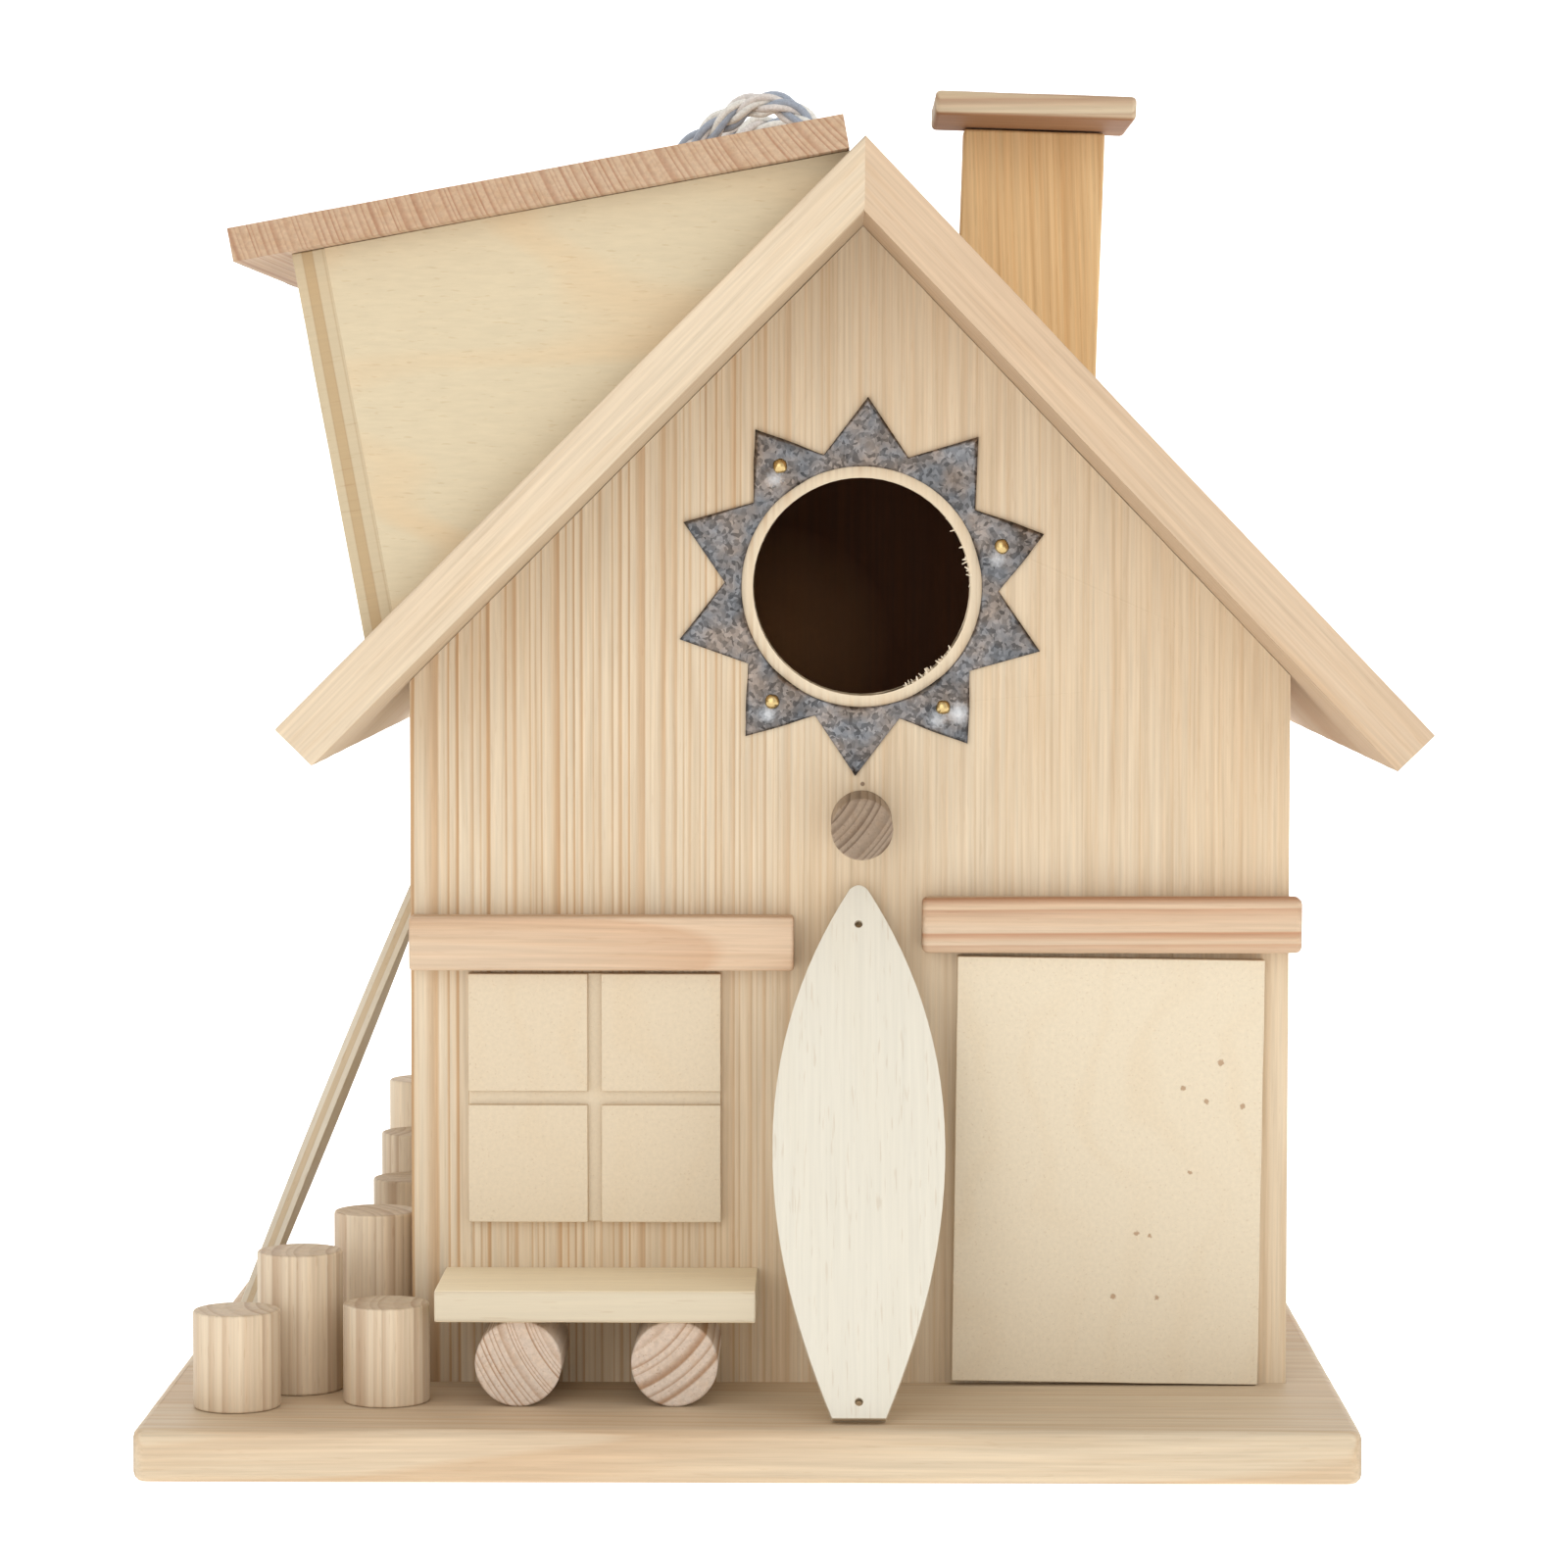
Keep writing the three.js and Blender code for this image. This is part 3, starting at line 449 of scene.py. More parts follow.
def plywood(name, centre, face_normal, thickness, face, grain_colour, grain, plies=3, pits=(),
            figured=0.2, rim_tint=(1.0, 1.0, 1.0)):
    """Thin plywood: pale veneer with long faint figure, and its plies as stripes along the edges.

    face_normal turns object space so that the sheet's normal lies along Z; pits are (across, up, radius)
    in millimetres from the piece's centre on a sheet that faces the front.
    """
    material, tree, shader = new_material(name)
    space, facing = grain_space(tree, face_normal, centre)
    veneer = mapped(tree, space, rotation=grain)
    drift = mottle(tree, mapped(tree, veneer, scale=(1, 1, 0.16)), 26.0, 2.0)
    across = place(tree, "ShaderNodeSeparateXYZ", {0: veneer}).outputs["X"]
    bands = maths(tree, "ADD", maths(tree, "MULTIPLY", across, 85.0), maths(tree, "MULTIPLY", drift, 4.2))
    figure = maths(tree, "SINE", maths(tree, "MULTIPLY", bands, math.tau))
    patch = mottle(tree, mapped(tree, veneer, scale=(1, 1, 0.35)), 30.0, 2.0)
    marked = maths(tree, "MULTIPLY", ramp(tree, figure, [(0.35, 0.0), (1.0, 1.0)]),
                   ramp(tree, patch, [(0.35, 0.15), (0.7, 0.75)]))
    fibre = mottle(tree, mapped(tree, veneer, scale=(1, 1, 0.03)), 1400.0, 3.0, 0.6)
    pores = mottle(tree, mapped(tree, veneer, scale=(1, 1, 0.08)), 2300.0, 1.0, 0.4)
    veined = blend_colours(tree, maths(tree, "MULTIPLY", marked, figured), face, grain_colour)
    grained = blend_colours(tree, 0.45, veined, ramp(tree, fibre, [(0.3, 0.88), (0.7, 1.06)]), "MULTIPLY")
    dotted = blend_colours(
        tree, maths(tree, "MULTIPLY", ramp(tree, pores, [(0.66, 0.0), (0.75, 1.0)]), 0.25),
        grained, (0.66, 0.5, 0.36), "MULTIPLY")
    through = place(tree, "ShaderNodeSeparateXYZ", {0: space}).outputs["Z"]
    layer = maths(tree, "MULTIPLY_ADD", through, plies / (thickness * MM), plies / 2)
    odd = maths(tree, "MODULO", maths(tree, "FLOOR", layer), 2.0)
    glue = ramp(tree, maths(tree, "PINGPONG", layer, 0.5), [(0.0, 1.0), (0.12, 0.0)])
    ply = blend_colours(tree, odd, (0.98, 0.95, 0.92), (0.84, 0.72, 0.58))
    glued = blend_colours(tree, maths(tree, "MULTIPLY", glue, 0.35), ply, (0.62, 0.46, 0.32))
    facing_z = place(tree, "ShaderNodeSeparateXYZ", {0: facing}).outputs["Z"]
    rim = ramp(tree, maths(tree, "ABSOLUTE", facing_z), [(0.45, 1.0), (0.8, 0.0)])
    tinted = blend_colours(tree, 1.0, glued, rim_tint, "MULTIPLY")
    edged = blend_colours(tree, rim, dotted, blend_colours(tree, 1.0, dotted, tinted, "MULTIPLY"))
    height = maths(tree, "MULTIPLY_ADD", fibre, 0.7, maths(tree, "MULTIPLY", marked, 0.15))
    # each pit is pressed into the bump height and painted darker, painted shade in the dent
    for across_mm, up_mm, radius in pits:
        pit = disc(tree, centre, (across_mm, up_mm, radius + 0.5), 0.75, ragged=0.8)
        edged = blend_colours(tree, maths(tree, "MULTIPLY", pit, 0.8), edged, (0.36, 0.22, 0.12))
        height = maths(tree, "SUBTRACT", height, pit)
    tree.links.new(edged, shader.inputs["Base Color"])
    tree.links.new(maths(tree, "MULTIPLY_ADD", fibre, 0.2, 0.5), shader.inputs["Roughness"])
    shader.inputs["Specular IOR Level"].default_value = 0.3
    bumped = place(tree, "ShaderNodeBump", {"Strength": 0.25, "Distance": 0.1 * MM, "Height": height})
    tree.links.new(bumped.outputs[0], shader.inputs["Normal"])
    return material


def metal(name, base, rough, spangle=0.0, scratch=0.2, dent=0.0, painted_highlights=()):
    """Bare metal with fine scratches; spangle breaks its brightness into crystals, dent crumples it.

    The highlight discs (across, up, radius), in millimetres from the world's middle, are painted highlights.
    """
    material, tree, shader = new_material(name)
    source = place(tree, "ShaderNodeTexCoord").outputs["Object"]
    ripple = place(tree, "ShaderNodeTexNoise", {"Vector": source, "Scale": 420.0}).outputs["Color"]
    small = mapped(tree, ripple, scale=(2 * MM, 2 * MM, 2 * MM))
    warped = place(tree, "ShaderNodeVectorMath", {0: source, 1: small}, operation="ADD").outputs[0]
    crystals = place(tree, "ShaderNodeTexVoronoi", {"Vector": warped, "Scale": 1500.0}).outputs["Color"]
    crystal = place(tree, "ShaderNodeSeparateXYZ", {0: crystals}).outputs["X"]
    stain = mottle(tree, source, 160.0, 3.0, 0.6)
    fine = mottle(tree, mapped(tree, source, rotation=(0.3, 0.9, 0.2), scale=(1, 1, 0.05)), 1900.0, 2.0)
    shade = maths(tree, "MULTIPLY_ADD", maths(tree, "SUBTRACT", crystal, 0.5), spangle, 1.0)
    stained = maths(tree, "MULTIPLY", shade, ramp(tree, stain, [(0.3, 0.72), (0.7, 1.18)]))
    cast = blend_colours(
        tree, ramp(tree, mottle(tree, source, 210.0, 2.0), [(0.35, 0.0), (0.65, 1.0)]),
        base, shaded(base, (0.74, 0.92, 1.14)))
    plain = blend_colours(tree, min(spangle, 1.0), base, cast)
    toned = place(tree, "ShaderNodeVectorMath", {0: plain, "Scale": stained}, operation="SCALE").outputs[0]
    # painted highlights: pale discs mixed into the metal's colour for light reflected off the dented sheet
    for painted_highlight in painted_highlights:
        near = maths(tree, "MULTIPLY", disc(tree, (0, 0, 0), painted_highlight, 0.0, ragged=1.6), 0.7)
        toned = blend_colours(tree, near, toned, (0.82, 0.84, 0.86))
    tree.links.new(toned, shader.inputs["Base Color"])
    shader.inputs["Metallic"].default_value = 1.0
    worn = maths(tree, "MULTIPLY_ADD", fine, 0.25, rough - 0.12)
    tree.links.new(maths(tree, "MULTIPLY_ADD", crystal, 0.12 * spangle, worn), shader.inputs["Roughness"])
    crumple = mottle(tree, source, 240.0, 2.0)
    relief = maths(tree, "MULTIPLY_ADD", crumple, dent, maths(tree, "MULTIPLY", fine, scratch * 0.1))
    raised = maths(tree, "MULTIPLY_ADD", crystal, spangle * 0.05, relief)
    bumped = place(tree, "ShaderNodeBump", {"Strength": 0.5, "Distance": 0.4 * MM, "Height": raised})
    tree.links.new(bumped.outputs[0], shader.inputs["Normal"])
    return material


def yarn(name, base):
    """Soft twisted fibre: fuzz, shaded hollows and a little sheen."""
    material, tree, shader = new_material(name)
    source = place(tree, "ShaderNodeTexCoord").outputs["Object"]
    fuzz = mottle(tree, source, 2600.0, 3.0, 0.7)
    tufts = mottle(tree, source, 700.0, 2.0)
    shaded = blend_colours(tree, 1.0, base, ramp(tree, fuzz, [(0.25, 0.72), (0.75, 1.1)]), "MULTIPLY")
    tufted = blend_colours(tree, 0.5, shaded, ramp(tree, tufts, [(0.3, 0.82), (0.7, 1.1)]), "MULTIPLY")
    tree.links.new(tufted, shader.inputs["Base Color"])
    shader.inputs["Roughness"].default_value = 0.95
    shader.inputs["Sheen Weight"].default_value = 0.25
    bumped = place(tree, "ShaderNodeBump", {"Strength": 0.5, "Distance": 0.15 * MM, "Height": fuzz})
    tree.links.new(bumped.outputs[0], shader.inputs["Normal"])
    return material


# ---------- rope ----------
ROPE_HALF = [
    (5.65, -18.3, 200.00), (5.65, -18.3, 212.00), (5.85, -18.3, 223.40), (5.25, -18.1, 227.00),
    (3.55, -17.4, 230.20), (0.95, -16.3, 232.60), (-2.25, -15.0, 233.80), (-5.65, -13.6, 233.80),
    (-8.85, -12.3, 232.60), (-13.15, -10.7, 229.70), (-16.25, -9.0, 227.10), (-19.75, -6.9, 224.60),
    (-24.35, -4.2, 222.80), (-30.55, -1.6, 221.50), (-38.55, 0.2, 220.00), (-48.55, -0.1, 218.10),
    (-58.55, -1.9, 216.30), (-68.15, -2.3, 214.60), (-76.15, 1.9, 213.10),
]
ROPE_BIGHT = (-79.75, 10.7, 212.40)
ROPE_STEP = 0.9 * MM
CURVE_STEPS = 30
STRANDS = 3
YARNS = 3
ROPE_COLOURS = 3
# shares of the rope's diameter
STRAND_ORBIT = 0.245
YARN_ORBIT = 0.115
YARN_RADIUS = 0.138
YARN_LAY = 0.55  # length of a yarn's twist as a share of its strand's
KNOT_STEPS = 120
KNOT_BAND = 40  # faces of one colour before the next


def rope_route():
    mirrored = [(x, 2 * ROPE_BIGHT[1] - y, z) for x, y, z in reversed(ROPE_HALF)]
    return [Vector(point) * MM for point in ROPE_HALF + [ROPE_BIGHT] + mirrored]


def smooth_line(points, step):
    """A centripetal curve through the points, in equal steps."""
    ends = [2 * points[0] - points[1]] + points + [2 * points[-1] - points[-2]]
    fine = []
    for p0, p1, p2, p3 in zip(ends, ends[1:], ends[2:], ends[3:]):
        d0, d1, d2 = (math.sqrt((b - a).length) for a, b in ((p0, p1), (p1, p2), (p2, p3)))
        start = ((p1 - p0) / d0 - (p2 - p0) / (d0 + d1) + (p2 - p1) / d1) * d1
        end = ((p2 - p1) / d1 - (p3 - p1) / (d1 + d2) + (p3 - p2) / d2) * d1
        for i in range(CURVE_STEPS):
            t = i / CURVE_STEPS
            bend = 3 * (p2 - p1) - 2 * start - end
            fine.append(p1 + start * t + bend * t * t + (2 * (p1 - p2) + start + end) * t ** 3)
    fine.append(points[-1].copy())
    even = [fine[0]]
    left = step
    for a, b in zip(fine, fine[1:]):
        span = (b - a).length
        while span >= left:
            a = a.lerp(b, left / span)
            span = (b - a).length
            even.append(a.copy())
            left = step
        left -= span
    if (fine[-1] - even[-1]).length > step / 3:
        even.append(fine[-1])
    return even


def frames_along(line):
    """(point, side, up) along the line, without twist."""
    up = Vector((0, 1, 0))
    result = []
    for i, point in enumerate(line):
        ahead = (line[min(i + 1, len(line) - 1)] - line[max(i - 1, 0)]).normalized()
        up = (up - ahead * up.dot(ahead)).normalized()
        result.append((point, ahead.cross(up), up))
    return result


def tube_mesh(name, lines, radius, closed=False, sides=2):
    """One mesh of round tubes of equal length, each with the material of its line's number."""
    curve = bpy.data.curves.new(name, "CURVE")
    curve.dimensions = "3D"
    curve.bevel_depth = radius
    curve.bevel_resolution = sides
    curve.use_fill_caps = True
    for _, line in lines:
        spline = curve.splines.new("POLY")
        spline.points.add(len(line) - 1)
        spline.use_cyclic_u = closed
        for point, target in zip(spline.points, line):
            point.co = (*target, 1.0)
    holder = bpy.data.objects.new(name, curve)
    bpy.context.scene.collection.objects.link(holder)
    bpy.context.view_layer.update()
    mesh = bpy.data.meshes.new_from_object(holder.evaluated_get(bpy.context.evaluated_depsgraph_get()))
    bpy.data.objects.remove(holder)
    mesh.name = name
    share = len(mesh.polygons) / len(lines)
    for number, polygon in enumerate(mesh.polygons):
        polygon.use_smooth = True
        polygon.material_index = lines[int(number / share)][0]
    return mesh


def laid_yarns(frames, step, diameter, lay):
    """The yarns of a rope whose strands are twisted one way and their yarns the other."""
    strand_orbit = diameter * STRAND_ORBIT
    yarn_orbit = diameter * YARN_ORBIT
    lines = []
    for strand in range(STRANDS):
        for thread in range(YARNS):
            line = []
            for i, (point, side, up) in enumerate(frames):
                turn = math.tau * (i * step / lay + strand / STRANDS)
                own = math.tau * (-i * step / (lay * YARN_LAY) + thread / YARNS)
                out = side * math.cos(turn) + up * math.sin(turn)
                over = up * math.cos(turn) - side * math.sin(turn)
                line.append(point + out * (strand_orbit + yarn_orbit * math.cos(own))
                            + over * yarn_orbit * math.sin(own))
            lines.append(((strand + thread) % ROPE_COLOURS, line))
    return lines


class BIRDHOUSE_OT_rope(bpy.types.Operator):
    """Lays the twisted hanging rope and ties its two ends inside the roof"""
    bl_idname = "birdhouse.rope"
    bl_label = "Rope"

    def execute(self, context):
        diameter = sizes().rope_diameter
        cream = yarn("rope_cream_yarn", tuple(colours().rope_cream))
        blue = yarn("rope_blue_yarn", tuple(colours().rope_blue))
        rosy = yarn("rope_rosy_yarn", tuple(colours().rope_rosy))
        knots = [self.knot(node, diameter, cream, blue) for node in ("rope_knot_1", "rope_knot_2")]
        line = smooth_line(rope_route(), ROPE_STEP)
        lines = laid_yarns(frames_along(line), ROPE_STEP, diameter, sizes().rope_lay)
        mesh = tube_mesh("hanging_rope_yarns", lines, diameter * YARN_RADIUS, sides=1)
        rope = finish_mesh(mesh, "hanging_rope_yarns", [cream, blue, rosy], ["hanging_rope"])
        return {"FINISHED"}

    def knot(self, node, diameter, cream, blue):
        """An overhand knot drawn tight, the size of its CAD ball."""
        low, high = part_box(node)
        centre = main_centre(node)
        reach = (high.x - low.x) / 2 - diameter * 0.42
        points = []
        for i in range(KNOT_STEPS):
            t = math.tau * i / KNOT_STEPS
            ring = 0.62 + 0.38 * math.cos(3 * t)
            turned = Vector((ring * math.cos(2 * t), ring * math.sin(2 * t), 0.62 * math.sin(3 * t)))
            points.append(centre + reach * turned)
        mesh = tube_mesh(node + "_rope", [(1, points)], diameter * 0.4, closed=True, sides=4)
        for number, polygon in enumerate(mesh.polygons):
            polygon.material_index = number // KNOT_BAND % 2
        return finish_mesh(mesh, node + "_rope", [cream, blue], [node])


# ---------- stage ----------
FLOOR_GLOW = 0.65


class BIRDHOUSE_OT_stage(bpy.types.Operator):
    """Sets the camera, the soft light and a pale floor that curves up behind the house"""
    bl_idname = "birdhouse.stage"
    bl_label = "Stage"

    def execute(self, context):
        stage = context.scene.bird_house_stage
        self.camera(context, stage)
        self.floor()
        self.lights(context, stage)
        context.scene.view_settings.view_transform = "Standard"
        return {"FINISHED"}

    def camera(self, context, stage):
        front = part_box("front_wall")[0].y
        data = bpy.data.cameras.new("camera")
        data.sensor_width = 36.0
        data.lens = stage.camera_lens
        camera = bpy.data.objects.new("camera", data)
        camera.location = (stage.camera_side, front - stage.camera_distance, stage.camera_height)
        camera.rotation_euler = (math.pi / 2 - stage.camera_tilt, 0.0, stage.camera_turn)
        context.scene.collection.objects.link(camera)
        context.scene.camera = camera

    def floor(self):
        """A sheet swept from the floor in front to a wall behind, with a round cove between."""
        reach, cove, width, rise = 1.8, 0.6, 4.0, 2.2
        bm = bmesh.new()
        start = bm.verts.new((-width, -reach, 0.0))
        corner = bm.verts.new((-width, reach, 0.0))
        top = bm.verts.new((-width, reach + cove, rise))
        bm.edges.new((start, corner))
        arc = bmesh.ops.spin(
            bm, geom=[corner], cent=(-width, reach, cove), axis=(1, 0, 0), angle=math.pi / 2, steps=24,
            use_duplicate=False)
        end = [item for item in arc["geom_last"] if isinstance(item, bmesh.types.BMVert)][0]
        bm.edges.new((end, top))
        swept = bmesh.ops.extrude_edge_only(bm, edges=list(bm.edges))
        moved = [item for item in swept["geom"] if isinstance(item, bmesh.types.BMVert)]
        bmesh.ops.translate(bm, verts=moved, vec=(2 * width, 0, 0))
        bmesh.ops.recalc_face_normals(bm, faces=bm.faces)
        mesh = bpy.data.meshes.new("floor")
        for face in bm.faces:
            face.smooth = True
        bm.to_mesh(mesh)
        bm.free()
        floor = bpy.data.objects.new("floor", mesh)
        bpy.context.scene.collection.objects.link(floor)
        material, tree, shader = new_material("floor_paper")
        source = place(tree, "ShaderNodeTexCoord").outputs["Object"]
        clouds = ramp(tree, mottle(tree, source, 6.0), [(0.3, 0.98), (0.7, 1.0)])
        tone = blend_colours(tree, 0.5, tuple(colours().floor), clouds, "MULTIPLY")
        tree.links.new(tone, shader.inputs["Base Color"])
        shader.inputs["Roughness"].default_value = 0.9
        shader.inputs["Emission Color"].default_value = (1.0, 1.0, 1.0, 1.0)
        shader.inputs["Emission Strength"].default_value = FLOOR_GLOW
        mesh.materials.append(material)
        floor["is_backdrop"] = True

    def lights(self, context, stage):
        target = middle_of(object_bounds())
        for name, place_at, size, power in (
                ("key_light", Vector((-0.45, -1.7, 0.42)), 1.2, stage.key_power),
                ("fill_light", Vector((1.2, -0.9, 0.7)), 1.4, stage.fill_power)):
            data = bpy.data.lights.new(name, "AREA")
            data.size = size
            data.energy = power
            lamp = bpy.data.objects.new(name, data)
            lamp.location = place_at
            lamp.rotation_euler = (target - place_at).to_track_quat("-Z", "Y").to_euler()
            context.scene.collection.objects.link(lamp)
        world = bpy.data.worlds.new("soft_sky")
        world.use_nodes = True
        background = world.node_tree.nodes["Background"]
        background.inputs["Color"].default_value = (1.0, 1.0, 1.0, 1.0)
        background.inputs["Strength"].default_value = stage.sky
        context.scene.world = world


# ---------- boards ----------
ENTRANCE_RADIUS = 19.0 * MM
SPLINTERS = 40


class BIRDHOUSE_OT_walls(bpy.types.Operator):
    """Makes the four walls of sawn pine with upright grain"""
    bl_idname = "birdhouse.walls"
    bl_label = "Walls"

    def execute(self, context):
        light, dark = tuple(colours().pine), tuple(colours().pine_ring)
        close = sizes().joint_close
        front = wood(
            "front_wall_pine", main_centre("front_wall"), UPRIGHT, light, dark, pith=(98, 48), ring=1.25,
            contrast=1.0, wander=0.7, streaks=0.5, blotch=0.45, warm=(1.0, 0.90, 0.78), line=0.25,
            fade=("X", -52, 14), spots=self.spots())
        # inside faces: dark brown painted shade inside the nest box, with a spot of painted light at the
        # lower left of the entrance
        inner = wood(
            "inner_wall_painted_shade_and_light", main_centre("front_wall"), UPRIGHT, tuple(colours().inner_painted_shade),
            shaded(colours().inner_painted_shade, 0.7), pith=(50, 60), contrast=0.3,
            spots=[(-15.0, 25.0, 24.0, 0.15, (0.95, 0.46, 0.18))])
        board("front_wall", front, grow=close, inward=(0, 1, 0), inner=inner)
        for node, pith, inward in (("back_wall", (80, 50), (0, -1, 0)), ("left_wall", (40, 60), (1, 0, 0)),
                                   ("right_wall", (-45, -70), (-1, 0, 0))):
            pine = wood(node + "_pine", main_centre(node), UPRIGHT, light, dark, pith=pith, wander=1.8)
            board(node, pine, grow=close, inward=inward, inner=inner)
        self.splinters()
        return {"FINISHED"}

    def spots(self):
        """The raw pale rim round the entrance, and a dark disc of painted shade for a stray nail hole just
        above the perch.
        """
        middle = main_centre("front_wall")
        entrance = main_centre("sun_plate")
        rim = ((entrance.x - middle.x) / MM, (entrance.z - middle.z) / MM, 20.9, 0.9, (0.72, 0.62, 0.46))
        perch = main_centre("perch_dowel")
        across, up = (perch.x - middle.x) / MM + 0.2, (perch.z - middle.z) / MM + 6.4
        # the nail hole: a dark disc of painted shade
        return rim, (across, up, 0.45, 0.7, (0.16, 0.09, 0.05))

    def splinters(self):
        """Frayed fibres left by the hole saw at the lower right of the entrance."""
        draw = random.Random(7)
        low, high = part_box("sun_plate")
        centre = Vector(((low.x + high.x) / 2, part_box("front_wall")[0].y, (low.z + high.z) / 2))
        bm = bmesh.new()
        for _ in range(SPLINTERS):
            below = draw.uniform(-66, -34), draw.uniform(-66, -34)
            angle = math.radians(draw.choice((*below, draw.uniform(0, 40))))
            reach = draw.uniform(0.4, 1.4) * MM
            start = centre + Vector((math.cos(angle), 0, math.sin(angle))) * (ENTRANCE_RADIUS + 0.1 * MM)
            start.y += draw.uniform(0.1, 1.2) * MM
            lean = Vector((
                -math.cos(angle) + draw.uniform(-0.8, 0.8), draw.uniform(-0.5, 0.2),
                -math.sin(angle) + draw.uniform(-0.8, 0.8))).normalized()
            turn = lean.to_track_quat("Z", "Y").to_matrix().to_4x4()
            bmesh.ops.create_cone(
                bm, cap_ends=True, segments=5, radius1=draw.uniform(0.18, 0.42) * MM, radius2=0.08 * MM,
                depth=reach, matrix=Matrix.Translation(start + lean * reach / 2) @ turn)
        pale = wood(
            "splinter_wood", centre, UPRIGHT, (0.80, 0.72, 0.58), (0.68, 0.56, 0.40), ring=1.2, contrast=0.4)
        finish_piece(bm, "entrance_splinters", [pale], [])


class BIRDHOUSE_OT_base(bpy.types.Operator):
    """Makes the base board, its grain running from side to side"""
    bl_idname = "birdhouse.base"
    bl_label = "Base"

    def execute(self, context):
        pine = wood(
            "base_pine", main_centre("base_board"), SIDE, (0.61, 0.50, 0.355), tuple(colours().pine_ring),
            pith=(30, -22), ring=3.4, contrast=0.42, wander=3.2, streaks=0.35, blotch=0.6,
            warm=(1.0, 0.88, 0.80), tilt=(0.02, 0.03))
        board("base_board", pine, width=1.6 * MM)
        return {"FINISHED"}


# each board's pitch, its tint and its rings
ROOF_BOARDS = {
    "roof_board_left": (
        math.radians(45.0), (0.96, 0.97, 0.97),
        dict(pith=(14, 30), ring=3.1, contrast=0.15, wander=1.2, blotch=0.2, line=0.15)),
    "roof_board_right": (
        math.radians(-46.3), (0.87, 0.82, 0.79),
        dict(pith=(-4, 9), ring=2.4, contrast=0.42, wander=1.0, blotch=0.45, line=0.3)),
}


class BIRDHOUSE_OT_roof(bpy.types.Operator):
    """Makes the two roof boards, their grain running down the slopes"""
    bl_idname = "birdhouse.roof"
    bl_label = "Roof"

    def execute(self, context):
        ridge = max(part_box("roof_board_left")[1].x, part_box("roof_board_right")[0].x)

        def at_ridge(edge):
            return all(abs(vert.co.x - ridge) < 0.8 * MM for vert in edge.verts)

        for node, (pitch, tint, look) in ROOF_BOARDS.items():
            pine = wood(
                node + "_pine", main_centre(node), (0.0, math.pi / 2 + pitch, 0.0),
                light=shaded(colours().roof, tint), dark=tuple(colours().pine_ring), streaks=0.5,
                end_shade=0.9, **look)
            board(node, pine, kept=at_ridge, grow=0.09 * MM)
        return {"FINISHED"}


class BIRDHOUSE_OT_dormer(bpy.types.Operator):
    """Makes the lean-to dormer: its roof board, outer board and two cheeks"""
    bl_idname = "birdhouse.dormer"
    bl_label = "Dormer"
    tilt = math.radians(10.4)
    thickness = 5.2

    def execute(self, context):
        rosy = wood(
            "dormer_roof_pine", main_centre("dormer_roof"), DEPTH, tuple(colours().dormer),
            tuple(colours().dormer_ring), pith=(-75, 37), ring=1.05, contrast=0.85, wander=0.5, streaks=0.4,
            blotch=0.35, end_shade=0.94, line=0.35)
        board("dormer_roof", rosy, width=0.5 * MM)
        veneer, figure = tuple(colours().veneer), tuple(colours().veneer_grain)
        outer = plywood(
            "dormer_outer_plywood", main_centre("dormer_outer_board"), (0.0, math.pi / 2 + self.tilt, 0.0),
            self.thickness, shaded(veneer, 0.86), figure, UPRIGHT)
        grow = 2 * sizes().joint_close
        board("dormer_outer_board", outer, width=sizes().thin_edge, grow=grow)
        for node in ("dormer_cheek_front", "dormer_cheek_back"):
            cheek = plywood(
                node + "_plywood", main_centre(node), DEPTH, self.thickness, shaded(veneer, 0.95), figure,
                (0.0, math.pi / 2 + 0.16, 0.0), figured=0.95)
            board(node, cheek, width=sizes().thin_edge, grow=grow)
        return {"FINISHED"}


class BIRDHOUSE_OT_chimney(bpy.types.Operator):
    """Makes the chimney's golden stack and its pale cap"""
    bl_idname = "birdhouse.chimney"
    bl_label = "Chimney"

    def execute(self, context):
        stack = wood(
            "chimney_stack_pine", main_centre("chimney_stack"), (0.0, math.radians(1.9), 0.0),
            tuple(colours().golden), tuple(colours().golden_ring), pith=(-60, 44), ring=1.3, contrast=0.45,
            wander=0.5, streaks=0.6, blotch=0.2, line=0.35)
        board("chimney_stack", stack)
        # the underside tint darkens the cap's faces that look down: painted shade under the cap
        cap = wood(
            "chimney_cap_pine", main_centre("chimney_cap"), SIDE, (0.62, 0.52, 0.37),
            tuple(colours().dormer_ring), pith=(16, -20), ring=1.7, contrast=0.6, wander=0.7, blotch=0.35,
            underside_shade=(0.62, 0.42, 0.32))
        board("chimney_cap", cap, width=0.9 * MM)
        return {"FINISHED"}


class BIRDHOUSE_OT_headers(bpy.types.Operator):
    """Makes the headers over the window and the garage door"""
    bl_idname = "birdhouse.headers"
    bl_label = "Headers"

    def execute(self, context):
        light, dark = tuple(colours().rosy), tuple(colours().rosy_ring)
        window = wood(
            "window_header_pine", main_centre("window_header"), SIDE, light, dark, pith=(5, 24), ring=3.6,
            contrast=0.85, wander=3.0, blotch=0.4, tilt=(0.10, 0.16), warm=(0.98, 0.84, 0.74))
        board("window_header", window, width=0.6 * MM)
        garage = wood(
            "garage_header_pine", main_centre("garage_header"), SIDE, light, (0.44, 0.22, 0.115),
            pith=(16, 3), ring=2.9, contrast=1.0, wander=0.9, blotch=0.3, tilt=(0.01, 0.01), line=0.55)
        board("garage_header", garage, width=1.1 * MM)
        return {"FINISHED"}


# dents in the garage door, each painted darker as painted shade in the dent: (across, up, radius) in
# millimetres from its centre
DOOR_PITS = (
    (19.5, 19, 0.6), (13.0, 14.5, 0.45), (17.0, 12.2, 0.5), (23.3, 11.4, 0.45), (14.2, -0.2, 0.35),
    (5.0, -10.9, 0.4), (7.3, -11.3, 0.35), (1.0, -22.0, 0.5), (8.6, -22.1, 0.5))


